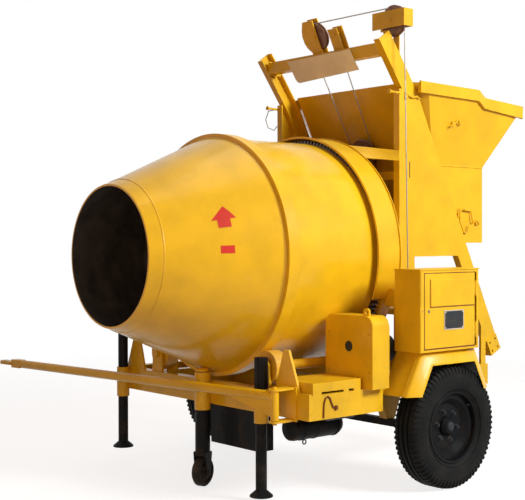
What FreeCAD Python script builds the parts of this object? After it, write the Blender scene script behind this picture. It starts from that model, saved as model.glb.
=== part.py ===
import FreeCAD, Part
import os
from math import acos, atan2, cos, pi, radians, sin, sqrt, tan

# Portable reversing-drum concrete mixer with a rope-hoisted feed skip, in millimetres.
# Construction frame: +X towards the discharge mouth, +Y to the control-box side, +Z up,
# the drum axis over y = 0, the road axle under x = 0, the ground at z = 0.
# The finished pieces are moved so that the origin is the middle of the footprint.

V = FreeCAD.Vector
LEFT, RIGHT = 1, -1
SIDES = {"left": LEFT, "right": RIGHT}

# ---- clearances ----
SHAFT_GAP = 0.05        # radial, shaft in its bearing
SKIN_GAP = 0.3          # between a roller and its track
MOVE_GAP = 7.0          # between pieces that pass each other

# ---- drum ----
AXIS_Z = 1416.0         # height of the drum axis
DRUM_R = 727.0          # outer radius of the cylinder
SHELL_T = 6.0
MOUTH_X = 1734.0
MOUTH_R = 414.0         # outer radius of the discharge mouth
NECK_L = 84.0           # short neck behind the mouth
NECK_RISE = 36.0
FRONT_FOLD_X = 998.0
REAR_FOLD_X = 85.0
FEED_CONE_L = 280.0
FEED_R = 362.0          # outer radius of the feed opening
FEED_NECK_L = 50.0
RACE_R = 752.0
RACE_W = 84.0
FRONT_RACE_X = 954.0
REAR_RACE_X = 130.0
BLADE_T = 8.0
BLADE_H = 170.0
BLADE_COUNT = 4
BLADE_TURN = 75.0       # degrees of helix along the drum

# ---- gear drive ----
GEAR_MODULE = 10.0
GEAR_TEETH = 148
PINION_TEETH = 16
PRESSURE_ANGLE = 20.0
TOOTH_FILL = 0.46       # tooth thickness over pitch, both gears
ADDENDUM = 0.85         # in modules
DEDENDUM = 1.15
GEAR_X = 226.0
GEAR_W = 60.0
PINION_ANGLE = 124.0    # from the top of the gear, towards the control side
PINION_SHAFT_R = 24.0
GUARD_GAP = 8.0         # hoop over the rear race
GUARD_T = 5.0
GUARD_X0 = 88.0
GUARD_X1 = 288.0
GUARD_SPAN = 111.0      # degrees each side of the top
GUARD_LIP = 14.0
ARM_TURN_0 = 22.0       # degrees from the top, upper and lower end of the arm on the hoop
ARM_TURN_1 = 36.0
ARM_POST_Z0 = 2016.0
ARM_POST_Z1 = 2082.0
COVER_X0 = 462.0
COVER_X1 = 600.0
COVER_Y0 = 629.0
COVER_Y1 = 1022.0
COVER_Z1 = 1066.0
COVER_CORNER = 62.0
COVER_HOLE_R = 32.0
COVER_HOLE_Y = 826.0
COVER_HOLE_Z = 883.0
TRAY_H = 66.0
TRAY_T = 9.0
TRAY_X0 = 637.0
TRAY_X1 = 1012.0
TRAY_Y0 = 648.0
TRAY_SLOT_H = 14.0
TRAY_SLOTS = ((690.0, 732.0), (772.0, 945.0))
MOTOR_R = 86.0
MOTOR_FLANGE_R = 104.0
MOTOR_L = 190.0
MOTOR_Y = 814.0
MOTOR_Z = 850.0

# ---- support rollers ----
ROLLER_R = 96.0
ROLLER_W = 86.0
ROLLER_ANGLE = 39.8     # from the bottom of the race
ROLLER_SHAFT_R = 30.0
BRACKET_T = 16.0
GUSSET_Y0 = 668.0
GUSSET_Y1 = 878.0
GUSSET_SLOPE = 93.0
GUSSET_TOP = 44.0
GUSSET_TOP_Z = 884.0

# ---- chassis ----
BEAM_Z0 = 501.0
BEAM_H = 142.0
FLANGE = 63.0
WEB = 9.0
RAIL_Y = 600.0          # outer face of the main rails, posts and inclined rails
FRONT_X = 1040.0
REAR_X = -980.0
WIDE_Y = 962.0          # half width of the front platform
WIDE_X0 = 452.0
CROSS_XS = (-150.0, 330.0)

# ---- axle and wheels ----
TYRE_R = 375.0
TYRE_W = 186.0
WHEEL_Y = 1046.0
RIM_R = 213.0
AXLE_SIZE = 46.0
AXLE_DROP = 35.0
SPINDLE_R = 26.0
HUB_R = 58.0
DISH_R = 135.0
DISH_DEPTH = 34.0
SADDLE_L = 180.0

# ---- fenders and control box ----
FENDER_Y0 = 908.0
FENDER_Y1 = 1146.0
FENDER_T = 5.0
FENDER_LIP = 66.0
FENDER_RISE = 95.0      # flat top over the tyre
FENDER_SKIRT = 213.0    # lower ends over the axle
FENDER_TOP_BACK = 161.0 # ends of the flat top inside the tyre's rear and front
FENDER_TOP_FRONT = 50.0
FENDER_LOW_BACK = 30.0
FENDER_LOW_FRONT = 25.0
FENDER_ARM_T = 12.0
FENDER_ARM_H = 42.0
BOX_X0 = -207.0
BOX_X1 = 325.0
BOX_Y0 = 938.0
BOX_Z1 = 1328.0
BOX_T = 5.0
BOX_SILL = 20.0         # frame around the door
BOX_POST = 40.0         # wider frame at the latch side
DOOR_T = 12.0
HINGE_R = 7.0
HINGE_PIN_R = 4.0
HINGE_L = 70.0

# ---- tower ----
TOWER_DEPTH = 50.0      # in Y, all uprights and rails
POST_X0 = -225.0
POST_X1 = -80.0
POST_TOP_Z = 2480.0
RAIL_LEAN = 26.5        # degrees from the vertical, inclined rails
ARM_LEAN = 35.4         # degrees from the vertical, mast arms
RAIL_W = 112.0
JOINT_X = -253.0        # rear corner of the joint of rail, post and arm
JOINT_Z = 2465.0
RAIL_LOW_Z = 743.0
ARM_TOP_Z = 2842.0
PANEL_T = 6.0
PANEL_Z0 = 1397.0
REAR_POST_X0 = -955.0
REAR_POST_X1 = -905.0
CROSSBAR_DROP = 152.0   # underside of the crossbar below the top of the arms
CROSSBAR_H = 80.0
CROSSBAR_AHEAD = 76.6743  # its middle forward of the rear edge of the arms
CROSSBAR_END = 40.0     # its end plates reach behind it
CROSSBAR_W = 70.0
TUBE_SIZE = 56.0        # square tubes between the side plates
TUBE_TOP_Z = 1935.0
TUBE_TOP_BACK = 35.0    # behind the posts
TUBE_MID_X = -370.0
TUBE_MID_Z = 1745.0
TUBE_LOW_X = -565.0     # smaller tube under the chute
TUBE_LOW_SIZE = 40.0
TUBE_LOW_RISE = 25.0    # over the lower edge of the side plates
TIE_SIZE = 52.0
TIE_ALONG = 340.0       # from the lower end of the rails
SILL_H = 60.0           # tube at the foot of the posts
SILL_W = 70.0
END_HOLE_R = 9.0
END_HOLE_PITCH = 64.0   # square of four holes in each rail end plate
END_PLATE_T = 8.0
END_PLATE_L = 116.0

# ---- hoist sheaves; all but the side one lie parallel to the slope ----
SKIP_SHEAVE_DEPTH = 59.0
SHEAVE_W = 30.0
SHEAVE_PIN_R = 14.0
CHEEK_T = 7.0
HEAD_R = 98.0
HEAD_SET_BACK = 1.0673  # its plane behind the middle of the crossbar, square to the rails
HEAD_RISE = 112.0       # its middle over the crossbar
HEAD_Y = -21.0          # wheel at the top of the rope
HEAD_PLATE_Y0 = -83.0    # sides of its cheeks, the rear one bulging round the wheel
HEAD_PLATE_Y1 = 11.0
ANCHOR_Y = 168.0        # bracket of the fixed rope end
ANCHOR_HALF = 43.0
ANCHOR_H = 160.0
SIDE_R = 100.0
SIDE_BACK = 56.92       # its middle behind the top corner of the left mast arm
SIDE_RISE = 67.0        # and over it
SIDE_Y = 590.0
SIDE_BOX_W = 84.0       # housing of the side sheave, on the back of the arm
SIDE_BOX_Y0 = 436.0
SIDE_BOX_Y1 = 714.0
SIDE_BOX_RISE = 20.0    # its underside over the top of the arm
SIDE_BOX_H = 110.0
SKIP_SHEAVE_R = 104.0
SKIP_SHEAVE_Y = 5.0
SKIP_SHEAVE_Z = 2110.0

# ---- skip ----
SKIP_T = 6.0
SKIP_DEPTH = 4.0        # plate forward of the rear edge of the rails
SKIP_Y = 530.0          # half width of the lower box
SKIP_FLARE = 0.2218     # outward slope of the upper side walls
SKIP_CORNER = 6.0        # narrower front plate than the side walls
SKIP_CORNER_SLOPE = 0.75
SKIP_LOW_Z = 1484.0
SKIP_FOLD_Z = 2009.0
SKIP_REAR_X = -1003.0
SKIP_REAR_SLOPE = 0.7615
SKIP_TOP_Z = 2538.0
SKIP_RIM_X = -827.0
SKIP_RIM_Z = 2528.0
SKIP_STEP_X = -902.0
SKIP_STEP_Z = 2482.0
SKIP_LIP_Z = 2445.0
SKIP_TRAVEL = 800.0
CARRIAGE_ZS = (1610.0, 2180.0)
CARRIAGE_R = 41.0
CARRIAGE_W = 30.0
CARRIAGE_AXLE_R = 15.0
GATE_Z1 = 1748.0
GATE_L = 236.0
GATE_Y = 340.0
GATE_T = 6.0
GATE_PIN_R = 7.0
GATE_TUBE_R = 12.0

# ---- chute ----
CHUTE_REAR_X = -612.0
CHUTE_REAR_Z = 1490.0
CHUTE_REAR_Y = 385.0
CHUTE_FRONT_X = -165.0
CHUTE_FRONT_Z = 1212.0
CHUTE_FRONT_Y = 205.0
CHUTE_H = 150.0
CHUTE_T = 6.0

# ---- front end ----
LEG_X = 1085.0
LEG_R = 33.0
LEG_FOOT_R = 68.0
SLEEVE_T = 9.0
LEG_YS = {"left": 602.0, "right": -853.0}
LEG_FEET = {"left": 30.0, "right": 111.0}
LEG_TOPS = {"left": 831.0, "right": 888.0}
SWIVEL_X = 1098.0
SWIVEL_Y = 58.0
SWIVEL_R = 40.0
JOCKEY_R = 90.0
JOCKEY_W = 58.0
JOCKEY_AXLE_R = 12.0
FORK_HALF = 36.0        # half width of the fork along the wheel
FORK_TAPER = 14.0
FORK_T = 10.0
FORK_OVER = 24.0        # crown over the wheel
JOCKEY_TURN = 20.0      # stored swivel of the front wheel, degrees
HITCH_X = 1170.0
HITCH_Y = 820.0
HITCH_R = 24.0
HITCH_PIN_R = 12.0
BAR_R = 28.0
BAR_L = 2400.0
BAR_Z = 640.0
BAR_ANGLE = -82.4       # stowed direction of the drawbar, from +X
TONGUE_L = 150.0
TONGUE_T = 24.0
TONGUE_HALF = 34.0
BAR_END_L = 60.0
BAR_GUSSET_L = 420.0
EYE_R = 20.0

GUARD_R = RACE_R + GUARD_GAP
FENDER_TOP_Z = 2 * TYRE_R + FENDER_RISE
FENDER_LOW_Z = TYRE_R + FENDER_SKIRT
FENDER_TOP_X0 = FENDER_TOP_BACK - TYRE_R
FENDER_TOP_X1 = TYRE_R - FENDER_TOP_FRONT
FENDER_LOW_X0 = FENDER_LOW_BACK - TYRE_R
FENDER_LOW_X1 = TYRE_R + FENDER_LOW_FRONT
BEAM_Z1 = BEAM_Z0 + BEAM_H
TRAY_Z1 = BEAM_Z1 + TRAY_H
LEAN = radians(RAIL_LEAN)
pieces = {}


# ---------------------------------------------------------------- shape helpers
def box(x0, x1, y0, y1, z0, z1):
    """Block between two corners given in any order."""
    xa, xb = sorted((x0, x1))
    ya, yb = sorted((y0, y1))
    za, zb = sorted((z0, z1))
    return Part.makeBox(xb - xa, yb - ya, zb - za, V(xa, ya, za))


def rod(start, end, radius):
    """Round bar from start to end."""
    a, b = V(*start), V(*end)
    return Part.makeCylinder(radius, (b - a).Length, a, b - a)


def extrude(corners, direction):
    wire = Part.makePolygon(corners + corners[:1])
    return Part.Face(wire).extrude(direction)


def plate_xz(points, y0, y1):
    """Flat plate from an outline in X and Z, between two Y planes."""
    low = min(y0, y1)
    return extrude([V(x, low, z) for x, z in points], V(0, abs(y1 - y0), 0))


def plate_yz(points, x0, x1):
    low = min(x0, x1)
    return extrude([V(low, y, z) for y, z in points], V(abs(x1 - x0), 0, 0))


def plate_xy(points, z0, z1):
    low = min(z0, z1)
    return extrude([V(x, y, low) for x, y in points], V(0, 0, abs(z1 - z0)))


def spin_x(profile, y=0.0, z=AXIS_Z):
    """Solid of revolution about an X line, from (x, radius) points."""
    wire = Part.makePolygon([V(x, y, z + r) for x, r in profile + profile[:1]])
    return Part.Face(wire).revolve(V(0, y, z), V(1, 0, 0), 360)


def spin_y(profile, x=0.0, z=0.0):
    """Solid of revolution about a Y line, from (y, radius) points."""
    wire = Part.makePolygon([V(x, y, z + r) for y, r in profile + profile[:1]])
    return Part.Face(wire).revolve(V(x, 0, z), V(0, 1, 0), 360)


def prismoid(ring_a, ring_b):
    """Solid with flat sides between two rings of as many corners."""
    count = len(ring_a)
    faces = [Part.Face(Part.makePolygon(ring + ring[:1])) for ring in (ring_a, ring_b)]
    for i in range(count):
        j = (i + 1) % count
        quad = [ring_a[i], ring_a[j], ring_b[j], ring_b[i]]
        faces.append(Part.Face(Part.makePolygon(quad + quad[:1])))
    solid = Part.Solid(Part.Shell(faces))
    if solid.Volume < 0:
        solid.reverse()
    return solid


def channel_x(x0, x1, y_web, side, z0, z1):
    """Rolled channel along X: web outside at y_web, flanges towards the middle."""
    shape = box(x0, x1, y_web, y_web - side * FLANGE, z0, z1)
    hollow = box(x0, x1, y_web - side * WEB, y_web - side * FLANGE, z0 + WEB, z1 - WEB)
    return shape.cut(hollow)


def channel_y(y0, y1, x_web, side, z0, z1):
    """Rolled channel along Y: web at x_web, flanges towards the given side."""
    shape = box(x_web, x_web + side * FLANGE, y0, y1, z0, z1)
    hollow = box(x_web + side * WEB, x_web + side * FLANGE, y0, y1, z0 + WEB, z1 - WEB)
    return shape.cut(hollow)


def union(solids):
    return solids[0].fuse(solids[1:]).removeSplitter()


def group(shapes):
    solids = []
    for shape in shapes:
        solids += shape.Solids
    return Part.makeCompound(solids)


def mirrored(shape):
    return shape.mirror(V(0, 0, 0), V(0, 1, 0))


def both(shape):
    return group([shape, mirrored(shape)])


# ---------------------------------------------------------------- drum
FEED_X = REAR_FOLD_X - FEED_CONE_L - FEED_NECK_L


def drum_profile(inset):
    """Line of the shell from the feed end to the mouth, moved in by inset."""
    return [
        (FEED_X, FEED_R - inset),
        (FEED_X + FEED_NECK_L, FEED_R + 12 - inset),
        (REAR_FOLD_X, DRUM_R - inset),
        (FRONT_FOLD_X, DRUM_R - inset),
        (MOUTH_X - NECK_L, MOUTH_R + NECK_RISE - inset),
        (MOUTH_X, MOUTH_R - inset),
    ]


def race(x_mid):
    half = RACE_W / 2
    return spin_x([
        (x_mid - half, DRUM_R),
        (x_mid - half, RACE_R),
        (x_mid + half, RACE_R),
        (x_mid + half, DRUM_R),
    ])


def blade(index):
    """Helical mixing blade standing on the inside of the cylinder."""
    steps = 6
    outer = DRUM_R - SHELL_T
    start_x = REAR_FOLD_X + 90
    length = FRONT_FOLD_X - REAR_FOLD_X - 180
    base = index * 360 / BLADE_COUNT
    rings = []
    for step in range(steps + 1):
        angle = radians(base + BLADE_TURN * step / steps)
        x = start_x + length * step / steps
        ring = []
        for radius, side in ((outer + 20, -1), (outer + 20, 1), (outer - BLADE_H, 1), (outer - BLADE_H, -1)):
            turn = angle + side * BLADE_T / 2 / radius
            ring.append(V(x, radius * sin(turn), AXIS_Z + radius * cos(turn)))
        rings.append(Part.makePolygon(ring + ring[:1]))
    body = Part.makeLoft(rings, True, True)
    bore = rod((start_x - 10, 0, AXIS_Z), (start_x + length + 10, 0, AXIS_Z), outer)
    return body.common(bore)


pieces["drum_shell"] = spin_x(drum_profile(0.0) + drum_profile(SHELL_T)[::-1])
pieces["race_rings"] = group([race(FRONT_RACE_X), race(REAR_RACE_X)])
pieces["mixing_blades"] = group([blade(i) for i in range(BLADE_COUNT)])


# ---------------------------------------------------------------- gears
def half_thickness(teeth, radius):
    """Half angle of an involute tooth at a radius."""
    pitch_r = GEAR_MODULE * teeth / 2
    base_r = pitch_r * cos(radians(PRESSURE_ANGLE))
    at_pitch = tan(radians(PRESSURE_ANGLE)) - radians(PRESSURE_ANGLE)
    alpha = acos(min(1.0, base_r / radius))
    return TOOTH_FILL * pi / teeth + at_pitch - (tan(alpha) - alpha)


def gear_solid(teeth, phase, flank_steps, x0, x1, y, z, bore):
    """Spur gear with involute flanks; angles run from +Z towards +Y."""
    pitch_r = GEAR_MODULE * teeth / 2
    tip = pitch_r + ADDENDUM * GEAR_MODULE
    root = pitch_r - DEDENDUM * GEAR_MODULE
    corners = []
    for index in range(teeth):
        mid = phase + index * 2 * pi / teeth
        flank = []
        for step in range(flank_steps + 1):
            radius = root + (tip - root) * step / flank_steps
            flank.append((half_thickness(teeth, radius), radius))
        for angle, radius in [(-a, r) for a, r in flank] + flank[::-1]:
            corners.append((y + radius * sin(mid + angle), z + radius * cos(mid + angle)))
    return plate_yz(corners, x0, x1).cut(rod((x0 - 1, y, z), (x1 + 1, y, z), bore))


GEAR_X0 = GEAR_X - GEAR_W / 2
GEAR_X1 = GEAR_X + GEAR_W / 2
PINION_LINE = radians(PINION_ANGLE)
GEAR_REACH = GEAR_MODULE * (GEAR_TEETH + PINION_TEETH) / 2
PINION_Y = GEAR_REACH * sin(PINION_LINE)
PINION_Z = AXIS_Z + GEAR_REACH * cos(PINION_LINE)


def pinion_phase():
    """Turn of the pinion that puts one of its gaps on a tooth of the ring gear."""
    gear_step = 2 * pi / GEAR_TEETH
    past_tooth = PINION_LINE - round(PINION_LINE / gear_step) * gear_step
    return PINION_LINE + pi + past_tooth * GEAR_TEETH / PINION_TEETH + pi / PINION_TEETH


def pinion():
    """Pinion on its shaft, which runs in the back of the reducer cover."""
    teeth = gear_solid(PINION_TEETH, pinion_phase(), 2, GEAR_X0 - 4, GEAR_X1 + 4, PINION_Y, PINION_Z, 12)
    shaft = rod((GEAR_X0 - 40, PINION_Y, PINION_Z), (COVER_X0 + 60, PINION_Y, PINION_Z), PINION_SHAFT_R)
    collar = rod((GEAR_X1 + 4, PINION_Y, PINION_Z), (GEAR_X1 + 40, PINION_Y, PINION_Z), PINION_SHAFT_R + 16)
    return union([teeth, shaft, collar])


pieces["ring_gear"] = gear_solid(GEAR_TEETH, 0.0, 1, GEAR_X0, GEAR_X1, 0, AXIS_Z, DRUM_R)
pieces["drive_pinion"] = pinion()


# ---------------------------------------------------------------- drive
def drive_cover():
    """Sheet cover of the reducer with rounded top corners and an inspection hole."""
    body = box(COVER_X0, COVER_X1, COVER_Y0, COVER_Y1, BEAM_Z1, COVER_Z1)
    along_x = [e for e in body.Edges if e.BoundBox.XLength > 1 and e.BoundBox.ZMin > COVER_Z1 - 1]
    body = body.makeFillet(COVER_CORNER, along_x)
    hole_start = (COVER_X1 - 40, COVER_HOLE_Y, COVER_HOLE_Z)
    body = body.cut(rod(hole_start, (COVER_X1 + 1, COVER_HOLE_Y, COVER_HOLE_Z), COVER_HOLE_R))
    bore = rod((COVER_X0 - 1, PINION_Y, PINION_Z), (COVER_X0 + 62, PINION_Y, PINION_Z), PINION_SHAFT_R + SHAFT_GAP)
    eye_y = COVER_Y0 + 0.8 * (COVER_Y1 - COVER_Y0)
    eye_z = COVER_Z1 + 20
    lug = rod((COVER_X1 - 40, eye_y, eye_z), (COVER_X1 - 28, eye_y, eye_z), 24)
    stem = box(COVER_X1 - 40, COVER_X1 - 28, eye_y - 24, eye_y + 24, COVER_Z1 - 8, eye_z)
    body = union([body, lug, stem])
    return body.cut([bore, rod((COVER_X1 - 50, eye_y, eye_z), (COVER_X1 - 10, eye_y, eye_z), 11)])


def drive_tray():
    """Folded deck over both left rails, before the reducer, with slots in its outer edge."""
    outer = box(TRAY_X0, TRAY_X1, TRAY_Y0, WIDE_Y, BEAM_Z1, TRAY_Z1)
    inner = box(TRAY_X0 + TRAY_T, TRAY_X1 - TRAY_T, TRAY_Y0 + TRAY_T, WIDE_Y - TRAY_T, BEAM_Z1, TRAY_Z1 - TRAY_T)
    slots = [box(x0, x1, WIDE_Y - TRAY_T, WIDE_Y, BEAM_Z1, BEAM_Z1 + TRAY_SLOT_H) for x0, x1 in TRAY_SLOTS]
    return outer.cut([inner] + slots)


def mixing_motor():
    """Motor barrel with its flange on the back of the reducer."""
    x0 = COVER_X0 - MOTOR_L
    barrel = rod((x0, MOTOR_Y, MOTOR_Z), (COVER_X0, MOTOR_Y, MOTOR_Z), MOTOR_R)
    flange = rod((COVER_X0 - 14, MOTOR_Y, MOTOR_Z), (COVER_X0, MOTOR_Y, MOTOR_Z), MOTOR_FLANGE_R)
    terminal = box(x0 + 50, x0 + 130, MOTOR_Y - 40, MOTOR_Y + 40, MOTOR_Z, MOTOR_Z + MOTOR_R + 24)
    return union([barrel, flange, terminal])


pieces["drive_cover"] = drive_cover()
pieces["drive_tray"] = drive_tray()
pieces["mixing_motor"] = mixing_motor()


# ---------------------------------------------------------------- gear guard
def guard_hoop():
    """Sheet hoop over the ring gear, open below, with outward lips."""
    outer = GUARD_R + GUARD_T
    lip = GUARD_R + GUARD_LIP
    hoop = spin_x([
        (GUARD_X0, GUARD_R),
        (GUARD_X0, lip),
        (GUARD_X0 + GUARD_T, lip),
        (GUARD_X0 + GUARD_T, outer),
        (GUARD_X1 - GUARD_T, outer),
        (GUARD_X1 - GUARD_T, lip),
        (GUARD_X1, lip),
        (GUARD_X1, GUARD_R),
    ])
    reach = 3 * GUARD_R
    half = radians(GUARD_SPAN)
    end = (reach * sin(half), AXIS_Z + reach * cos(half))
    open_part = [(0, AXIS_Z), end, (end[0], AXIS_Z - reach), (-end[0], AXIS_Z - reach), (-end[0], end[1])]
    return hoop.cut(plate_yz(open_part, GUARD_X0 - 5, GUARD_X1 + 5))


def guard_foot():
    """Bracket from the left end of the hoop back to the tower post."""
    half = radians(GUARD_SPAN)
    end_y = GUARD_R * sin(half)
    end_z = AXIS_Z + GUARD_R * cos(half)
    x0, x1 = GUARD_X0 + 12, GUARD_X0 + 72
    pad = plate_yz([(end_y - 12, end_z - 40), (end_y + 105, end_z - 40), (end_y + 105, end_z + 26),
                    (end_y + 52, end_z + 60), (end_y + 16, end_z + 60)], x0, x1)
    pad = pad.cut(rod((x0 - 1, 0, AXIS_Z), (x1 + 1, 0, AXIS_Z), GUARD_R + 1))
    stay = plate_xy([(POST_X0 + 60, RAIL_Y), (POST_X1, RAIL_Y), (x0, end_y - 12), (x1, end_y - 12),
                     (x1, end_y + 105), (x0, end_y + 105)], end_z - 50, end_z - 40)
    return union([pad, stay])


def guard_arm():
    """Flat arm from the rear rim of the hoop back to the front face of the left post."""
    skin = GUARD_T + 3
    post = [(RAIL_Y - skin, ARM_POST_Z0), (RAIL_Y, ARM_POST_Z0), (RAIL_Y, ARM_POST_Z1), (RAIL_Y - skin, ARM_POST_Z1)]
    hoop = []
    for turn, radius in ((ARM_TURN_1, GUARD_R), (ARM_TURN_1, GUARD_R + skin), (ARM_TURN_0, GUARD_R + skin),
                         (ARM_TURN_0, GUARD_R)):
        hoop.append((radius * sin(radians(turn)), AXIS_Z + radius * cos(radians(turn))))
    wires = []
    for x, ring in ((POST_X1, post), (GUARD_X0 + GUARD_T, hoop)):
        wires.append(Part.makePolygon([V(x, y, z) for y, z in ring + ring[:1]]))
    return Part.makeLoft(wires, True, True)


foot = guard_foot()
arm = guard_arm()
pieces["gear_guard"] = union([guard_hoop(), foot, mirrored(foot), arm, mirrored(arm)])


# ---------------------------------------------------------------- support rollers
ROLLER_REACH = RACE_R + ROLLER_R + SKIN_GAP
ROLLER_Y = ROLLER_REACH * sin(radians(ROLLER_ANGLE))
ROLLER_Z = AXIS_Z - ROLLER_REACH * cos(radians(ROLLER_ANGLE))
BRACKET_STEP = ROLLER_W / 2 + MOVE_GAP + BRACKET_T / 2
SHAFT_X0 = REAR_RACE_X - BRACKET_STEP - 28
SHAFT_X1 = FRONT_RACE_X + BRACKET_STEP + 28


def rollers():
    """Front and rear support roller on one long shaft."""
    parts = [rod((SHAFT_X0, ROLLER_Y, ROLLER_Z), (SHAFT_X1, ROLLER_Y, ROLLER_Z), ROLLER_SHAFT_R)]
    for x in (REAR_RACE_X, FRONT_RACE_X):
        start = (x - ROLLER_W / 2, ROLLER_Y, ROLLER_Z)
        parts.append(rod(start, (x + ROLLER_W / 2, ROLLER_Y, ROLLER_Z), ROLLER_R))
    return union(parts)


def roller_brackets():
    """Tapered bearing plates before and behind each roller, standing on the rail."""
    plates = []
    for x_mid in (REAR_RACE_X, FRONT_RACE_X):
        for step in (-BRACKET_STEP, BRACKET_STEP):
            x = x_mid + step
            outline = [
                (RAIL_Y - FLANGE, BEAM_Z1),
                (RAIL_Y, BEAM_Z1),
                (ROLLER_Y + 48, ROLLER_Z + 20),
                (ROLLER_Y + 26, ROLLER_Z + 48),
                (ROLLER_Y - 26, ROLLER_Z + 48),
                (ROLLER_Y - 48, ROLLER_Z + 20),
                (ROLLER_Y - 56, BEAM_Z1),
            ]
            plate = plate_yz(outline, x - BRACKET_T / 2, x + BRACKET_T / 2)
            hole = rod((x - BRACKET_T, ROLLER_Y, ROLLER_Z), (x + BRACKET_T, ROLLER_Y, ROLLER_Z),
                       ROLLER_SHAFT_R + SHAFT_GAP)
            plates.append(plate.cut(hole))
    return plates


def front_gusset():
    """Upright plate on the front beam beside the roller, outer edge sloping."""
    outline = [(GUSSET_Y0, BEAM_Z1), (GUSSET_Y1, BEAM_Z1), (GUSSET_Y1 - GUSSET_SLOPE, GUSSET_TOP_Z),
               (GUSSET_Y1 - GUSSET_SLOPE - GUSSET_TOP, GUSSET_TOP_Z)]
    plate = plate_yz(outline, FRONT_X - 20, FRONT_X - 20 + BRACKET_T)
    return plate.fuse(box(FRONT_X - 20, FRONT_X, GUSSET_Y0, WIDE_Y, BEAM_Z1, BEAM_Z1 + 8)).removeSplitter()


pieces["rollers_left"] = rollers()
pieces["rollers_right"] = mirrored(pieces["rollers_left"])
left_plates = roller_brackets() + [front_gusset()]
pieces["roller_brackets"] = group(left_plates + [mirrored(plate) for plate in left_plates])


# ---------------------------------------------------------------- chassis
AXLE_Z1 = TYRE_R - AXLE_DROP + AXLE_SIZE / 2


def chassis_frame():
    """Welded ladder frame with a wide platform before the wheels."""
    inner = RAIL_Y - WEB
    parts = []
    for side in (LEFT, RIGHT):
        parts.append(channel_x(REAR_X, FRONT_X, side * RAIL_Y, side, BEAM_Z0, BEAM_Z1))
        parts.append(channel_x(WIDE_X0, FRONT_X, side * WIDE_Y, side, BEAM_Z0, BEAM_Z1))
        parts.append(channel_y(side * RAIL_Y, side * WIDE_Y, WIDE_X0, LEFT, BEAM_Z0, BEAM_Z1))
        half_top, half_low = SADDLE_L / 2, AXLE_SIZE / 2 + 12
        saddle = [(-half_top, BEAM_Z0), (half_top, BEAM_Z0), (half_low, AXLE_Z1), (-half_low, AXLE_Z1)]
        parts.append(plate_xz(saddle, side * (RAIL_Y - FLANGE), side * RAIL_Y))
    parts.append(channel_y(-WIDE_Y, WIDE_Y, FRONT_X, RIGHT, BEAM_Z0, BEAM_Z1))
    parts.append(channel_y(-inner, inner, REAR_X, LEFT, BEAM_Z0, BEAM_Z1))
    for x in CROSS_XS:
        parts.append(channel_y(-inner, inner, x, LEFT, BEAM_Z0, BEAM_Z1))
    return union(parts)


def axle_beam():
    """Square axle bar below the frame with a raised stub spindle at each end."""
    inner = WHEEL_Y - TYRE_W / 2 - 22
    half = AXLE_SIZE / 2
    z = TYRE_R - AXLE_DROP
    parts = [box(-half, half, -inner, inner, z - half, z + half)]
    for side in (LEFT, RIGHT):
        parts.append(box(-half, half, side * (inner - 34), side * inner, z - half, TYRE_R + half + 8))
        parts.append(rod((0, side * inner, TYRE_R), (0, side * (WHEEL_Y + 26), TYRE_R), SPINDLE_R))
    return union(parts)


pieces["chassis_frame"] = chassis_frame()
pieces["axle_beam"] = axle_beam()


# ---------------------------------------------------------------- wheels
def tyre(side):
    half = TYRE_W / 2
    tread = TYRE_R - 12
    section = [
        (-0.70 * half, RIM_R),
        (-0.94 * half, RIM_R + 30),
        (-half, RIM_R + 72),
        (-0.96 * half, RIM_R + 118),
        (-0.80 * half, tread),
        (-0.52 * half, TYRE_R),
    ]
    section += [(-offset, radius) for offset, radius in section[::-1]]
    y = side * WHEEL_Y
    return spin_y([(y + offset, radius) for offset, radius in section], 0, TYRE_R)


def rim(side):
    """Pressed steel wheel: well, dished disc, hub barrel and cap."""
    half = 0.36 * TYRE_W
    bore = SPINDLE_R + SHAFT_GAP
    y = side * WHEEL_Y
    out = side

    def ring(points):
        return spin_y([(y + out * offset, radius) for offset, radius in points], 0, TYRE_R)

    well = ring([
        (-half, RIM_R), (half, RIM_R), (half + 6, RIM_R + 6), (half + 10, RIM_R + 2), (half + 6, RIM_R - 8),
        (half - 6, RIM_R - 12), (-half, RIM_R - 12)])
    disc = ring([
        (12, bore), (12, DISH_R), (12 + DISH_DEPTH, DISH_R + 34), (12 + DISH_DEPTH, RIM_R - 10),
        (4 + DISH_DEPTH, RIM_R - 10), (4 + DISH_DEPTH, DISH_R + 30), (4, DISH_R - 4), (4, bore)])
    hub = ring([(-40, bore), (-40, HUB_R), (26, HUB_R), (46, HUB_R - 16), (46, 0), (27, 0), (27, bore)])
    return union([well, disc, hub])


for name, side in SIDES.items():
    wheel = rim(side)
    pieces["tyre_" + name] = tyre(side).cut(wheel)
    pieces["rim_" + name] = wheel


# ---------------------------------------------------------------- fenders
def fender_outline(depth):
    """Outer line of the fender moved inwards by depth, ends level."""
    corners = []
    for low_x, top_x, sign in ((FENDER_LOW_X0, FENDER_TOP_X0, 1), (FENDER_LOW_X1, FENDER_TOP_X1, -1)):
        rise = FENDER_TOP_Z - FENDER_LOW_Z
        slope = atan2(abs(low_x - top_x), rise)
        low = (low_x + sign * depth / cos(slope), FENDER_LOW_Z)
        top = (low_x + sign * (abs(low_x - top_x) * (rise - depth) / rise + depth / cos(slope)), FENDER_TOP_Z - depth)
        corners.append((low, top))
    (low0, top0), (low1, top1) = corners
    return [low0, top0, top1, low1]


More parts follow.
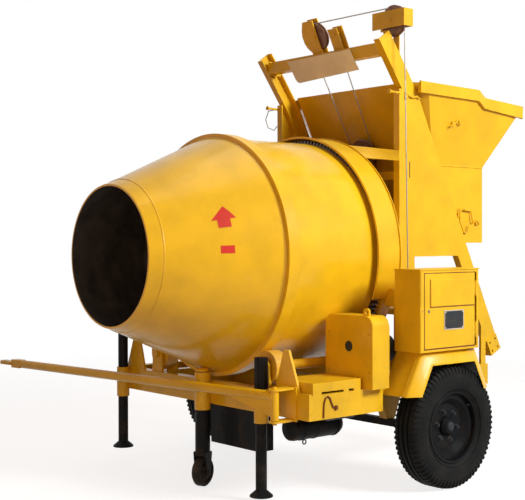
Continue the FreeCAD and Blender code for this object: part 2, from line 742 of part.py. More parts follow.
def fender(side):
    """Flat-topped mudguard with a folded outer lip and two arms to the main rail."""
    outer = fender_outline(0.0)
    skin = plate_xz(outer + fender_outline(FENDER_T)[::-1], side * FENDER_Y0, side * FENDER_Y1)
    lip = plate_xz(outer + fender_outline(FENDER_LIP)[::-1], side * (FENDER_Y1 - FENDER_T), side * FENDER_Y1)
    skirt = plate_xz(outer + fender_outline(FENDER_LIP / 2)[::-1], side * FENDER_Y0, side * (FENDER_Y0 + FENDER_T))
    parts = [skin, lip, skirt]
    inner = fender_outline(FENDER_T)
    for low, sign in ((inner[0], 1), (inner[3], -1)):
        x_out = low[0]
        x_in = x_out + sign * FENDER_ARM_T
        parts.append(box(x_out - sign * 2, x_in, side * RAIL_Y, side * (FENDER_Y1 - FENDER_T),
                         FENDER_LOW_Z, FENDER_LOW_Z + FENDER_ARM_H))
    return union(parts).common(box(-2000, 2000, side * RAIL_Y, side * FENDER_Y1, 0, FENDER_TOP_Z))


pieces["fenders"] = group([fender(side) for side in SIDES.values()])


# ---------------------------------------------------------------- control box
DOOR_X0 = BOX_X0 + BOX_SILL
DOOR_X1 = BOX_X1 - BOX_POST
DOOR_Z0 = FENDER_TOP_Z + BOX_SILL
DOOR_Z1 = BOX_Z1 - BOX_SILL
DOOR_FACE_Y = FENDER_Y1 - HINGE_R
HINGE_X = DOOR_X0 + 6
HINGE_Y = DOOR_FACE_Y
HINGE_ZS = (DOOR_Z0 + 60, DOOR_Z1 - 60 - HINGE_L)


def control_box():
    """Sheet cabinet over the left fender, open where the door closes it."""
    face = DOOR_FACE_Y
    shell = box(BOX_X0, BOX_X1, BOX_Y0, face, FENDER_TOP_Z, BOX_Z1)
    room = box(BOX_X0 + BOX_T, BOX_X1 - BOX_T, BOX_Y0 + BOX_T, face - DOOR_T - BOX_T,
               FENDER_TOP_Z + BOX_T, BOX_Z1 - BOX_T)
    gap = 3.0
    doorway = box(DOOR_X0 - gap, DOOR_X1 + gap, BOX_Y0 + BOX_T, FENDER_Y1, DOOR_Z0 - gap, DOOR_Z1 + gap)
    roof = box(BOX_X0 - 5, BOX_X1 + 5, BOX_Y0 - 4, face + 5, BOX_Z1, BOX_Z1 + 7)
    return union([shell.cut([room, doorway]), roof])


def hinge_line(z0, z1, radius):
    return rod((HINGE_X, HINGE_Y, z0), (HINGE_X, HINGE_Y, z1), radius)


def control_door():
    """Door leaf with a raised panel, a latch block and two hinge tubes."""
    leaf = box(HINGE_X + HINGE_R + 3, DOOR_X1, DOOR_FACE_Y - DOOR_T, DOOR_FACE_Y, DOOR_Z0, DOOR_Z1)
    panel = box(DOOR_X0 + 26, DOOR_X1 - 40, DOOR_FACE_Y, DOOR_FACE_Y + 4, DOOR_Z1 - 190, DOOR_Z1 - 20)
    parts = [leaf, panel]
    for z in HINGE_ZS:
        parts.append(hinge_line(z, z + HINGE_L, HINGE_R))
        parts.append(box(HINGE_X, HINGE_X + 20, DOOR_FACE_Y - 4, DOOR_FACE_Y, z, z + HINGE_L))
    bores = [hinge_line(z - 1, z + HINGE_L + 1, HINGE_PIN_R + SHAFT_GAP) for z in HINGE_ZS]
    return union(parts).cut(bores)


def hinge_pins():
    """Ears and pins of the door hinges on the cabinet."""
    parts = []
    for z in HINGE_ZS:
        parts.append(hinge_line(z - 12, z + HINGE_L + 12, HINGE_PIN_R))
        for z0 in (z - 12, z + HINGE_L + 1):
            parts.append(hinge_line(z0, z0 + 11, HINGE_R))
            parts.append(box(DOOR_X0 - 12, HINGE_X, DOOR_FACE_Y - 4, DOOR_FACE_Y, z0, z0 + 11))
    return parts


pieces["control_box"] = union([control_box()] + hinge_pins())
pieces["control_door"] = control_door()


# ---------------------------------------------------------------- tower
def incline(forward, along, lean=LEAN):
    """Point (x, z) reached from the joint corner, forward across and along the slope."""
    return (JOINT_X + forward * cos(lean) + along * sin(lean),
            JOINT_Z - forward * sin(lean) + along * cos(lean))


def edge_x(z, forward=0.0):
    """X of the line parallel to the rear edge of the rails, at a height."""
    return JOINT_X - (JOINT_Z - z) * tan(LEAN) + forward / cos(LEAN)


def tilted(shape, lean=RAIL_LEAN):
    """Turn a shape from upright axes into the slope: X across it, Z up along it."""
    turned = shape.copy()
    turned.rotate(V(0, 0, 0), V(0, 1, 0), lean)
    turned.translate(V(JOINT_X, 0, JOINT_Z))
    return turned


def along_at(z, forward):
    """Distance along the slope of a point at height z and at a forward depth."""
    return (z - JOINT_Z + forward * sin(LEAN)) / cos(LEAN)


MITRE = RAIL_W * tan(radians(ARM_LEAN - RAIL_LEAN) / 2)
RAIL_LOW = -(JOINT_Z - RAIL_LOW_Z) / cos(LEAN)
ARM_L = (ARM_TOP_Z - JOINT_Z) / cos(radians(ARM_LEAN))
ARM_TOP_X = JOINT_X + ARM_L * sin(radians(ARM_LEAN))
CROSSBAR_Z0 = ARM_TOP_Z - CROSSBAR_DROP
CROSSBAR_Z1 = CROSSBAR_Z0 + CROSSBAR_H
CROSSBAR_X = ARM_TOP_X - (CROSSBAR_DROP - CROSSBAR_H / 2) * tan(radians(ARM_LEAN)) + CROSSBAR_AHEAD
HEAD_DEPTH = (CROSSBAR_X - edge_x(CROSSBAR_Z1)) * cos(LEAN) - HEAD_SET_BACK
HEAD_Z = CROSSBAR_Z1 + HEAD_RISE
SIDE_X = ARM_TOP_X - SIDE_BACK
SIDE_Z = ARM_TOP_Z + SIDE_RISE
SIDE_BOX_X0 = SIDE_X - SIDE_BOX_W / 2
SIDE_BOX_X1 = SIDE_X + SIDE_BOX_W / 2
SIDE_BOX_Z0 = ARM_TOP_Z + SIDE_BOX_RISE
SIDE_BOX_Z1 = SIDE_BOX_Z0 + SIDE_BOX_H
INNER_Y = RAIL_Y - TOWER_DEPTH


def inclined_channel(low, high_rear, high_front, lean):
    """Channel between two lines on the slope, web outside."""
    def outline(edge):
        share = edge / RAIL_W
        rear = high_rear + (high_front - high_rear) * share
        front = high_front - (high_front - high_rear) * share
        low_rear = low[0] + (low[1] - low[0]) * share
        low_front = low[1] - (low[1] - low[0]) * share
        return [incline(edge, low_rear, lean), incline(RAIL_W - edge, low_front, lean),
                incline(RAIL_W - edge, front, lean), incline(edge, rear, lean)]
    full = plate_xz(outline(0.0), INNER_Y, RAIL_Y)
    return full.cut(plate_xz(outline(WEB), INNER_Y, RAIL_Y - WEB))


def lower_rail():
    """Inclined skip rail with a drilled plate on its lower end."""
    rail = inclined_channel((RAIL_LOW, RAIL_LOW), 0.0, -MITRE, LEAN)
    plate = [incline(0, RAIL_LOW), incline(RAIL_W, RAIL_LOW), incline(RAIL_W, RAIL_LOW + END_PLATE_L),
             incline(0, RAIL_LOW + END_PLATE_L)]
    body = rail.fuse(plate_xz(plate, RAIL_Y, RAIL_Y + END_PLATE_T))
    holes = []
    for forward in (-END_HOLE_PITCH / 2, END_HOLE_PITCH / 2):
        for along in (-END_HOLE_PITCH / 2, END_HOLE_PITCH / 2):
            x, z = incline(RAIL_W / 2 + forward, RAIL_LOW + END_PLATE_L / 2 + along)
            holes.append(rod((x, INNER_Y - 1, z), (x, RAIL_Y + 20, z), END_HOLE_R))
    return body.cut(holes).removeSplitter()


def tower_post():
    """Upright channel under the joint, its top shaped to the rail and the arm."""
    rail_z = JOINT_Z - (edge_x(JOINT_Z, RAIL_W) - POST_X0) / tan(LEAN)
    corner = incline(RAIL_W, -MITRE)
    lean = radians(ARM_LEAN)
    arm_x = corner[0] + (POST_TOP_Z - corner[1]) * tan(lean)
    outline = [(POST_X0, BEAM_Z1), (POST_X1, BEAM_Z1), (POST_X1, POST_TOP_Z), (arm_x, POST_TOP_Z), corner,
               (POST_X0, rail_z)]
    solid = plate_xz(outline, INNER_Y, RAIL_Y)
    hollow = box(POST_X0 + WEB, POST_X1 - WEB, INNER_Y, RAIL_Y - WEB, BEAM_Z1, POST_TOP_Z + 50)
    return solid.cut(hollow)


def rear_post():
    """Short post from the rear of the main rail up to the inclined rail."""
    top0 = JOINT_Z - (edge_x(JOINT_Z, RAIL_W) - REAR_POST_X0) / tan(LEAN)
    top1 = JOINT_Z - (edge_x(JOINT_Z, RAIL_W) - REAR_POST_X1) / tan(LEAN)
    outline = [(REAR_POST_X0, BEAM_Z1), (REAR_POST_X1, BEAM_Z1), (REAR_POST_X1, top1), (REAR_POST_X0, top0)]
    solid = plate_xz(outline, INNER_Y, RAIL_Y)
    return solid.cut(box(REAR_POST_X0 + WEB, REAR_POST_X1 + 1, INNER_Y, RAIL_Y - WEB, BEAM_Z1, JOINT_Z))


def side_plate():
    """Plate between post and rail, with a hanger at its rear lower corner."""
    rail_z = JOINT_Z - (edge_x(JOINT_Z, RAIL_W) - POST_X0) / tan(LEAN)
    outline = [(POST_X0, PANEL_Z0), (POST_X0, rail_z), (edge_x(PANEL_Z0, RAIL_W), PANEL_Z0)]
    return plate_xz(outline, RAIL_Y - PANEL_T, RAIL_Y)


def cross_tubes():
    """Square tubes between the side plates, posts and rails."""
    tubes = []
    inner = RAIL_Y - PANEL_T
    places = ((POST_X0 - TUBE_TOP_BACK, TUBE_TOP_Z, TUBE_SIZE), (TUBE_MID_X, TUBE_MID_Z, TUBE_SIZE),
              (TUBE_LOW_X, PANEL_Z0 + TUBE_LOW_RISE, TUBE_LOW_SIZE))
    for x, z, size in places:
        half = size / 2
        tubes.append(box(x - half, x + half, -inner, inner, z - half, z + half))
    x0, z0 = POST_X0 + 20, BEAM_Z1 + 40
    tubes.append(box(x0, x0 + SILL_W, -(RAIL_Y - WEB), RAIL_Y - WEB, z0, z0 + SILL_H))
    half = TIE_SIZE / 2
    tie_x, tie_z = incline(RAIL_W + half, RAIL_LOW + TIE_ALONG)
    tie = box(-half, half, -RAIL_Y, RAIL_Y, -half, half)
    tie.rotate(V(0, 0, 0), V(0, 1, 0), RAIL_LEAN)
    tie.translate(V(tie_x, 0, tie_z))
    tubes.append(tie)
    return group(tubes)


pieces["lower_rails"] = both(lower_rail())
pieces["tower_posts"] = group([both(tower_post()), both(rear_post())])
pieces["side_plates"] = both(side_plate())
pieces["cross_tubes"] = cross_tubes()
pieces["mast_arms"] = both(inclined_channel((0.0, MITRE), ARM_L, ARM_L, radians(ARM_LEAN)))


def crossbar():
    """Rectangular tube between the mast arms with end plates."""
    x0, x1 = CROSSBAR_X - CROSSBAR_W / 2, CROSSBAR_X + CROSSBAR_W / 2
    parts = [box(x0, x1, -INNER_Y, INNER_Y, CROSSBAR_Z0, CROSSBAR_Z1)]
    for side in (LEFT, RIGHT):
        end_x = x0 - CROSSBAR_END
        parts.append(box(end_x, x1, side * (INNER_Y - 10), side * INNER_Y, CROSSBAR_Z0 - 8, CROSSBAR_Z1 + 8))
    return union(parts)


pieces["crossbar"] = crossbar()


# ---------------------------------------------------------------- sheaves
def sheave(y, middle, radius, depth):
    """Grooved rope wheel about an X line, its middle at the given depth."""
    half = SHEAVE_W / 2
    bore = SHEAVE_PIN_R + SHAFT_GAP
    profile = [(-half, bore), (-half, radius), (-half + 6, radius), (0, radius - 16), (half - 6, radius),
               (half, radius), (half, bore)]
    return spin_x([(depth + offset, r) for offset, r in profile], y, middle)


def cheek_block(y, along, outline):
    """Two cheek plates of one outline with the pin of a mast sheave."""
    step = SHEAVE_W / 2 + MOVE_GAP
    parts = []
    for sign in (LEFT, RIGHT):
        face = HEAD_DEPTH + sign * step
        parts.append(plate_yz(outline, face, face + sign * CHEEK_T))
    end = step + CHEEK_T + 6
    parts.append(rod((HEAD_DEPTH - end, y, along), (HEAD_DEPTH + end, y, along), SHEAVE_PIN_R))
    return parts


HEAD_ALONG = along_at(HEAD_Z, HEAD_DEPTH)
SKIP_SHEAVE_ALONG = along_at(SKIP_SHEAVE_Z, SKIP_SHEAVE_DEPTH)


def cheek_seat():
    return box(-600, 600, -900, 900, CROSSBAR_Z0 - 600, CROSSBAR_Z1)


def head_block():
    """Cheek block of the head sheave, seated on the crossbar, bulging round the wheel on one side."""
    low, high = HEAD_ALONG - 3 * HEAD_R, HEAD_ALONG + HEAD_R + 20
    bulge = HEAD_Y - HEAD_R - 8
    outline = [(HEAD_PLATE_Y0, low), (HEAD_PLATE_Y1, low), (HEAD_PLATE_Y1, high), (HEAD_PLATE_Y0, high),
               (bulge + 12, HEAD_ALONG + 60), (bulge, HEAD_ALONG + 25), (bulge, HEAD_ALONG - 25),
               (bulge + 12, HEAD_ALONG - 60), (HEAD_PLATE_Y0, HEAD_ALONG - HEAD_R)]
    return tilted(union(cheek_block(HEAD_Y, HEAD_ALONG, outline))).cut(cheek_seat())


def anchor_block():
    """Two plates with a pin between them for the fixed end of the rope."""
    seat = along_at(CROSSBAR_Z1, HEAD_DEPTH)
    y0, y1 = ANCHOR_Y - ANCHOR_HALF, ANCHOR_Y + ANCHOR_HALF
    outline = [(y0, seat - 3 * HEAD_R), (y1, seat - 3 * HEAD_R), (y1, seat + ANCHOR_H), (y0, seat + ANCHOR_H)]
    return tilted(union(cheek_block(ANCHOR_Y, seat + ANCHOR_H - 40, outline))).cut(cheek_seat())


def side_sheave_block():
    """Housing of the side sheave, its back plate standing on the left mast arm."""
    x0, x1, y0, y1 = SIDE_BOX_X0, SIDE_BOX_X1, SIDE_BOX_Y0, SIDE_BOX_Y1
    front = plate_yz([(y0, SIDE_BOX_Z0), (y1, SIDE_BOX_Z0), (y1, SIDE_BOX_Z1), (y0, SIDE_BOX_Z1)], x1 - CHEEK_T, x1)
    back = plate_yz([(y0, SIDE_BOX_Z0), (INNER_Y, SIDE_BOX_Z0), (INNER_Y, JOINT_Z), (RAIL_Y, JOINT_Z),
                     (RAIL_Y, SIDE_BOX_Z0), (y1, SIDE_BOX_Z0), (y1, SIDE_BOX_Z1), (y0, SIDE_BOX_Z1)],
                    x0, x0 + CHEEK_T)
    side = box(x0, x1, y1 - CHEEK_T, y1, SIDE_BOX_Z0, SIDE_BOX_Z1)
    pin = rod((x0 - 6, SIDE_Y, SIDE_Z), (x1 + 6, SIDE_Y, SIDE_Z), SHEAVE_PIN_R)
    arm_side = tilted(box(0, 900, -900, 900, -900, 900), ARM_LEAN)
    return union([front, back.cut(arm_side), side, pin])


pieces["sheave_blocks"] = group([head_block(), anchor_block(), side_sheave_block()])
pieces["head_sheave"] = tilted(sheave(HEAD_Y, HEAD_ALONG, HEAD_R, HEAD_DEPTH))
pieces["side_sheave"] = sheave(SIDE_Y, SIDE_Z, SIDE_R, SIDE_X)


# ---------------------------------------------------------------- skip
def skip_ring(z, inset, slope):
    """Six corners of the skip's section at a height, walls moved in by inset."""
    rise = z - SKIP_FOLD_Z
    front = edge_x(z, SKIP_DEPTH) - inset / cos(LEAN)
    rear = SKIP_REAR_X - slope * rise + inset * sqrt(1 + slope ** 2)
    half = SKIP_Y + (SKIP_FLARE * rise if slope else 0) - inset
    narrow = SKIP_Y - SKIP_CORNER - 0.6 * inset
    corner = SKIP_CORNER_SLOPE * (half - narrow)
    return [V(front, -narrow, z), V(front, narrow, z), V(front - corner, half, z), V(rear, half, z),
            V(rear, -half, z), V(front - corner, -half, z)]


def skip_form(inset, low_z, top_z):
    """Outer or inner form: straight box below the fold, flared hopper above it."""
    slope = SKIP_REAR_SLOPE
    lower = prismoid(skip_ring(low_z, inset, 0), skip_ring(SKIP_FOLD_Z, inset, 0))
    upper = prismoid(skip_ring(SKIP_FOLD_Z, inset, slope), skip_ring(top_z, inset, slope))
    return lower.fuse(upper)


def skip_bucket():
    """Open skip with a stepped rim, a gate opening and its hinge ears."""
    over = SKIP_TOP_Z + 60
    body = skip_form(0.0, SKIP_LOW_Z, over).cut(skip_form(SKIP_T, SKIP_LOW_Z + SKIP_T, over + 10))
    lip_x = SKIP_REAR_X - SKIP_REAR_SLOPE * (over - SKIP_FOLD_Z) - 50
    above = [(200, over + 100), (200, SKIP_TOP_Z), (edge_x(SKIP_TOP_Z), SKIP_TOP_Z), (SKIP_RIM_X, SKIP_RIM_Z),
             (SKIP_STEP_X, SKIP_STEP_Z), (lip_x, SKIP_LIP_Z), (lip_x, over + 100)]
    body = body.cut(plate_xz(above, -1000, 1000))
    low, high = along_at(GATE_Z1, 0) - GATE_L, along_at(GATE_Z1, 0)
    opening = tilted(box(-40, 40, -GATE_Y, GATE_Y, low, high))
    return body.cut(opening)


def carriage():
    """Side rollers of the skip with their brackets on the inclined plate."""
    flange = RAIL_W - WEB
    depth = flange - CARRIAGE_R - SKIN_GAP
    parts = []
    for z in CARRIAGE_ZS:
        along = along_at(z, depth)
        plate = box(SKIP_DEPTH, depth + 30, SKIP_Y - 20, SKIP_Y - 8, along - 60, along + 60)
        y0 = RAIL_Y - WEB - 8 - CARRIAGE_W
        axle = rod((depth, SKIP_Y - 20, along), (depth, y0 + CARRIAGE_W, along), CARRIAGE_AXLE_R)
        wheel = rod((depth, y0, along), (depth, y0 + CARRIAGE_W, along), CARRIAGE_R)
        parts.append(tilted(union([plate, axle, wheel])))
    return parts


left_carriage = carriage()
pieces["skip_carriage"] = group(left_carriage + [mirrored(part) for part in left_carriage])


def gate_parts():
    along = along_at(GATE_Z1, 0)
    depth = SKIP_DEPTH + GATE_TUBE_R + 4
    return along, depth


def skip_gate():
    """Flap over the opening in the inclined plate, hung from a tube."""
    along, depth = gate_parts()
    flap = box(SKIP_DEPTH + 2, SKIP_DEPTH + 2 + GATE_T, -GATE_Y - 20, GATE_Y + 20, along - GATE_L - 20, along - 4)
    neck = box(SKIP_DEPTH + 2, depth, -GATE_Y - 20, GATE_Y + 20, along - 30, along - 4)
    tube = rod((depth, -GATE_Y - 20, along + 6), (depth, GATE_Y + 20, along + 6), GATE_TUBE_R)
    flap = flap.fuse([neck.common(box(-100, depth, -600, 600, along - 14, along)), tube])
    bore = rod((depth, -600, along + 6), (depth, 600, along + 6), GATE_PIN_R + SHAFT_GAP)
    return tilted(flap.cut(bore).removeSplitter())


def gate_pins():
    """Hinge pin and ears of the gate, on the inclined plate."""
    along, depth = gate_parts()
    pin = rod((depth, -GATE_Y - 40, along + 6), (depth, GATE_Y + 40, along + 6), GATE_PIN_R)
    parts = [pin]
    for side in (LEFT, RIGHT):
        parts.append(box(SKIP_DEPTH, depth + 12, side * (GATE_Y + 26), side * (GATE_Y + 36), along - 14, along + 26))
    return tilted(union(parts))


pieces["skip_gate"] = skip_gate()


def skip_sheave_block():
    """Bracket with the pin of the skip's rope sheave."""
    step = SHEAVE_W / 2 + MOVE_GAP
    y, along = SKIP_SHEAVE_Y, SKIP_SHEAVE_ALONG
    front = SKIP_SHEAVE_DEPTH + step
    strap = box(front, front + CHEEK_T, y - 30, y + 30, along - SKIP_SHEAVE_R - 30, along + 34)
    foot = box(SKIP_DEPTH, front + CHEEK_T, y - 30, y + 30, along - SKIP_SHEAVE_R - 42, along - SKIP_SHEAVE_R - 26)
    pin = rod((SKIP_DEPTH, y, along), (front + CHEEK_T + 6, y, along), SHEAVE_PIN_R)
    boss = rod((SKIP_DEPTH, y, along), (SKIP_SHEAVE_DEPTH - SHEAVE_W / 2 - 1, y, along), 34)
    return tilted(union([strap, foot, pin, boss]))


pieces["skip_sheave"] = tilted(sheave(SKIP_SHEAVE_Y, SKIP_SHEAVE_ALONG, SKIP_SHEAVE_R, SKIP_SHEAVE_DEPTH))
pieces["skip_bucket"] = union([skip_bucket(), gate_pins(), skip_sheave_block()])


# ---------------------------------------------------------------- feed chute
def chute_ring(x, z, half, height, inset):
    return [V(x, -(half - inset), z + inset), V(x, half - inset, z + inset), V(x, half - inset, z + height),
            V(x, -(half - inset), z + height)]


def feed_chute():
    """Tapered open trough from under the gate into the feed mouth of the drum."""
    slope = (CHUTE_FRONT_Z - CHUTE_REAR_Z) / (CHUTE_FRONT_X - CHUTE_REAR_X)
    taper = (CHUTE_FRONT_Y - CHUTE_REAR_Y) / (CHUTE_FRONT_X - CHUTE_REAR_X)

    def ring(x, inset, height):
        step = x - CHUTE_REAR_X
        return chute_ring(x, CHUTE_REAR_Z + slope * step, CHUTE_REAR_Y + taper * step, height, inset)

    outer = prismoid(ring(CHUTE_REAR_X, 0, CHUTE_H), ring(CHUTE_FRONT_X, 0, CHUTE_H))
    inner = prismoid(ring(CHUTE_REAR_X - 10, CHUTE_T, CHUTE_H + 10), ring(CHUTE_FRONT_X + 10, CHUTE_T, CHUTE_H + 10))
    behind = tilted(box(-900, RAIL_W + 28, -700, 700, -3000, 1000))
    trough = outer.cut([inner, behind])
    foot_x, foot_z = TUBE_LOW_X, PANEL_Z0 + TUBE_LOW_RISE + TUBE_LOW_SIZE / 2
    feet = []
    for side in (LEFT, RIGHT):
        leg = box(foot_x - 18, foot_x + 18, side * 200, side * 210, foot_z, foot_z + 60)
        feet.append(leg.cut(outer))
    return union([trough] + feet)


pieces["feed_chute"] = feed_chute()


# ---------------------------------------------------------------- hoist winch and under-frame units
WINCH_X = -130.0
WINCH_Z = 600.0
WINCH_L = 270.0
WINCH_HALF = 75.0
WINCH_R = 60.0
WINCH_FLANGE_R = 90.0
PUMP_X0 = 670.0
PUMP_X1 = 930.0
PUMP_Y = 720.0
PUMP_Z = 420.0
PUMP_R = 68.0
PUMP_CAP_R = 50.0
PUMP_CAP_L = 20.0
PUMP_NECK = 50.0
TOOLS_Y0 = 0.0
TOOLS_Y1 = 470.0
TOOLS_Z0 = 252.0
TOOLS_L = 108.0
TOOLS_BACK = 52.0       # behind the face of the front beam


def hoist_winch():
    """Rope drum between two side plates on the outside of the left main rail."""
    y0, y1 = RAIL_Y, RAIL_Y + WINCH_L
    plates = []
    for y in (y0, y1 - 12):
        plates.append(box(WINCH_X - WINCH_HALF, WINCH_X + WINCH_HALF, y, y + 12, BEAM_Z0, BEAM_Z1 + 40))
    drum = rod((WINCH_X, y0 + 12, WINCH_Z), (WINCH_X, y1 - 12, WINCH_Z), WINCH_R)
    flanges = []
    for y in (y0 + 16, y1 - 30):
        flanges.append(rod((WINCH_X, y, WINCH_Z), (WINCH_X, y + 10, WINCH_Z), WINCH_FLANGE_R))
    floor = box(WINCH_X - WINCH_HALF, WINCH_X + WINCH_HALF, y0, y1, BEAM_Z0, BEAM_Z0 + 8)
    return union(plates + [drum, floor] + flanges)


def water_pump():
    """Motor-driven pump hung under the left platform."""
    y, z = PUMP_Y, PUMP_Z
    barrel = rod((PUMP_X0, y, z), (PUMP_X1, y, z), PUMP_R)
    cap = rod((PUMP_X1, y, z), (PUMP_X1 + PUMP_CAP_L, y, z), PUMP_CAP_R)
    plate = box(PUMP_X0 + 20, PUMP_X1 - 20, RAIL_Y - FLANGE, WIDE_Y, BEAM_Z0 - 10, BEAM_Z0)
    neck = box(PUMP_X0 + 70, PUMP_X1 - 50, y - PUMP_NECK, y + PUMP_NECK, z, BEAM_Z0 - 10)
    return union([barrel, cap, plate, neck])


def tool_box():
    """Closed sheet box hung under the front beam."""
    x1 = FRONT_X - TOOLS_BACK
    return box(x1 - TOOLS_L, x1, TOOLS_Y0, TOOLS_Y1, TOOLS_Z0, BEAM_Z0)


pieces["hoist_winch"] = hoist_winch()
pieces["water_pump"] = water_pump()
pieces["tool_box"] = tool_box()


# ---------------------------------------------------------------- front end
def leg(name):
    """Screw leg with a conical foot."""
    y, low, top = LEG_YS[name], LEG_FEET[name], LEG_TOPS[name]
    tube = rod((LEG_X, y, low + 20), (LEG_X, y, top), LEG_R)
    disc = rod((LEG_X, y, low), (LEG_X, y, low + 8), LEG_FOOT_R)
    cone = Part.makeCone(LEG_FOOT_R, LEG_R, 30, V(LEG_X, y, low + 8))
    return union([tube, disc, cone])


def leg_sleeve(y):
    """Clamp tube of a leg, welded to the face of the front beam."""
    bore = LEG_R + SHAFT_GAP
    z0, z1 = BEAM_Z0 - 46, BEAM_Z1 + 8
    tube = rod((LEG_X, y, z0), (LEG_X, y, z1), bore + SLEEVE_T)
    pad = box(FRONT_X, LEG_X, y - 30, y + 30, BEAM_Z0 + 10, BEAM_Z1 - 10)
    return tube.fuse(pad).cut(rod((LEG_X, y, z0 - 1), (LEG_X, y, z1 + 1), bore)).removeSplitter()


def swivel_sleeve():
    bore = SWIVEL_R + SHAFT_GAP
    z0, z1 = BEAM_Z0 - 30, BEAM_Z1 + 58
    tube = rod((SWIVEL_X, SWIVEL_Y, z0), (SWIVEL_X, SWIVEL_Y, z1), bore + SLEEVE_T)
    pad = box(FRONT_X, SWIVEL_X, SWIVEL_Y - 34, SWIVEL_Y + 34, BEAM_Z0 + 8, BEAM_Z1 - 8)
    return tube.fuse(pad).cut(rod((SWIVEL_X, SWIVEL_Y, z0 - 1), (SWIVEL_X, SWIVEL_Y, z1 + 1), bore)).removeSplitter()


def jockey_column():
    """Swivelling stem with the fork and pin of the front wheel."""
    fork_z = 2 * JOCKEY_R + FORK_OVER
    half = JOCKEY_W / 2
    stem = rod((SWIVEL_X, SWIVEL_Y, fork_z), (SWIVEL_X, SWIVEL_Y, BEAM_Z1 + 70), SWIVEL_R)
    collar = rod((SWIVEL_X, SWIVEL_Y, fork_z), (SWIVEL_X, SWIVEL_Y, BEAM_Z0 - 31), SWIVEL_R + 6)
    wide = half + 6 + FORK_T
    crown = box(SWIVEL_X - FORK_HALF, SWIVEL_X + FORK_HALF, SWIVEL_Y - wide, SWIVEL_Y + wide, fork_z - 14, fork_z + 8)
    parts = [stem, collar, crown]
    for sign in (LEFT, RIGHT):
        face = SWIVEL_Y + sign * (half + 6)
        low_z, narrow = JOCKEY_R - 2 * JOCKEY_AXLE_R, FORK_HALF - FORK_TAPER
        cheek = [(SWIVEL_X - FORK_HALF, fork_z), (SWIVEL_X + FORK_HALF, fork_z), (SWIVEL_X + narrow, low_z),
                 (SWIVEL_X - narrow, low_z)]
        parts.append(plate_xz(cheek, face, face + sign * FORK_T))
    reach = half + 20
    start, end = (SWIVEL_X, SWIVEL_Y - reach, JOCKEY_R), (SWIVEL_X, SWIVEL_Y + reach, JOCKEY_R)
    parts.append(rod(start, end, JOCKEY_AXLE_R))
    return union(parts)


def jockey_wheel():
    half = JOCKEY_W / 2
    bore = JOCKEY_AXLE_R + SHAFT_GAP
    profile = [(-half, bore), (-half, 40), (-half + 10, 44), (-half + 10, JOCKEY_R - 26), (-half, JOCKEY_R - 22),
               (-half, JOCKEY_R - 10), (-half + 10, JOCKEY_R)]
    profile += [(-offset, radius) for offset, radius in profile[::-1]]
    return spin_y([(SWIVEL_Y + offset, radius) for offset, radius in profile], SWIVEL_X, JOCKEY_R)


for name in SIDES:
    pieces["leg_" + name] = leg(name)
for name, shape in (("jockey_column", jockey_column()), ("jockey_wheel", jockey_wheel())):
    shape.rotate(V(SWIVEL_X, SWIVEL_Y, 0), V(0, 0, 1), JOCKEY_TURN)
    pieces[name] = shape

HITCH_Z0 = BEAM_Z0 + 4
HITCH_Z1 = BAR_Z + BAR_R


def hitch_bracket():
    """Bracket on the front beam with two lugs and the pin of the drawbar."""
    parts = [box(FRONT_X, FRONT_X + 12, HITCH_Y - 45, HITCH_Y + 45, BEAM_Z0 - 12, HITCH_Z1 + 16)]
    for z0 in (HITCH_Z0 - 14, HITCH_Z1 + 2):
        parts.append(box(FRONT_X, HITCH_X, HITCH_Y - 34, HITCH_Y + 34, z0, z0 + 12))
        parts.append(rod((HITCH_X, HITCH_Y, z0), (HITCH_X, HITCH_Y, z0 + 12), 34))
    parts.append(rod((HITCH_X, HITCH_Y, HITCH_Z0 - 26), (HITCH_X, HITCH_Y, HITCH_Z1 + 24), HITCH_PIN_R))
    return union(parts)


def drawbar():
    """Swinging towbar: hinge tube, long tube, gusset, box end and eyed tongue."""
    x0, x1 = HITCH_X, HITCH_X + BAR_L
    y = HITCH_Y
    tube = rod((x0, y, HITCH_Z0), (x0, y, HITCH_Z1), HITCH_R)
    bar = rod((x0, y, BAR_Z), (x1, y, BAR_Z), BAR_R)
    gusset = plate_xz([(x0, HITCH_Z0 + 10), (x0 + BAR_GUSSET_L, BAR_Z - 10), (x0, BAR_Z)], y - 5, y + 5)
    end_x = x1 + BAR_END_L
    eye_x = end_x + TONGUE_L - TONGUE_HALF
    z0, z1 = BAR_Z - TONGUE_T / 2, BAR_Z + TONGUE_T / 2
    end_box = box(x1 - 30, end_x, y - BAR_R, y + BAR_R, BAR_Z - BAR_R, BAR_Z + BAR_R)
    tongue = box(end_x, eye_x, y - TONGUE_HALF, y + TONGUE_HALF, z0, z1)
    nose = rod((eye_x, y, z0), (eye_x, y, z1), TONGUE_HALF)
    body = union([tube, bar, gusset, end_box, tongue, nose])
    body = body.cut(rod((x0, y, 0), (x0, y, 1000), HITCH_PIN_R + SHAFT_GAP))
    body = body.cut(rod((eye_x, y, 0), (eye_x, y, 1000), EYE_R))
    body.rotate(V(x0, y, 0), V(0, 0, 1), BAR_ANGLE)
    return body


pieces["front_brackets"] = group([leg_sleeve(y) for y in LEG_YS.values()] + [swivel_sleeve(), hitch_bracket()])
pieces["drawbar"] = drawbar()


# ---------------------------------------------------------------- write the pieces
def whole_box():
    total = FreeCAD.BoundBox()
    for shape in pieces.values():
        total.add(shape.BoundBox)
    return total


overall = whole_box()
SHIFT = V(-(overall.XMin + overall.XMax) / 2, -(overall.YMin + overall.YMax) / 2, -overall.ZMin)
os.makedirs("parts", exist_ok=True)
for node, shape in pieces.items():
    shape.translate(SHIFT)
    shape.exportStep("parts/" + node + ".step")
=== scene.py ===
import math
import bpy
from mathutils import Matrix, Vector

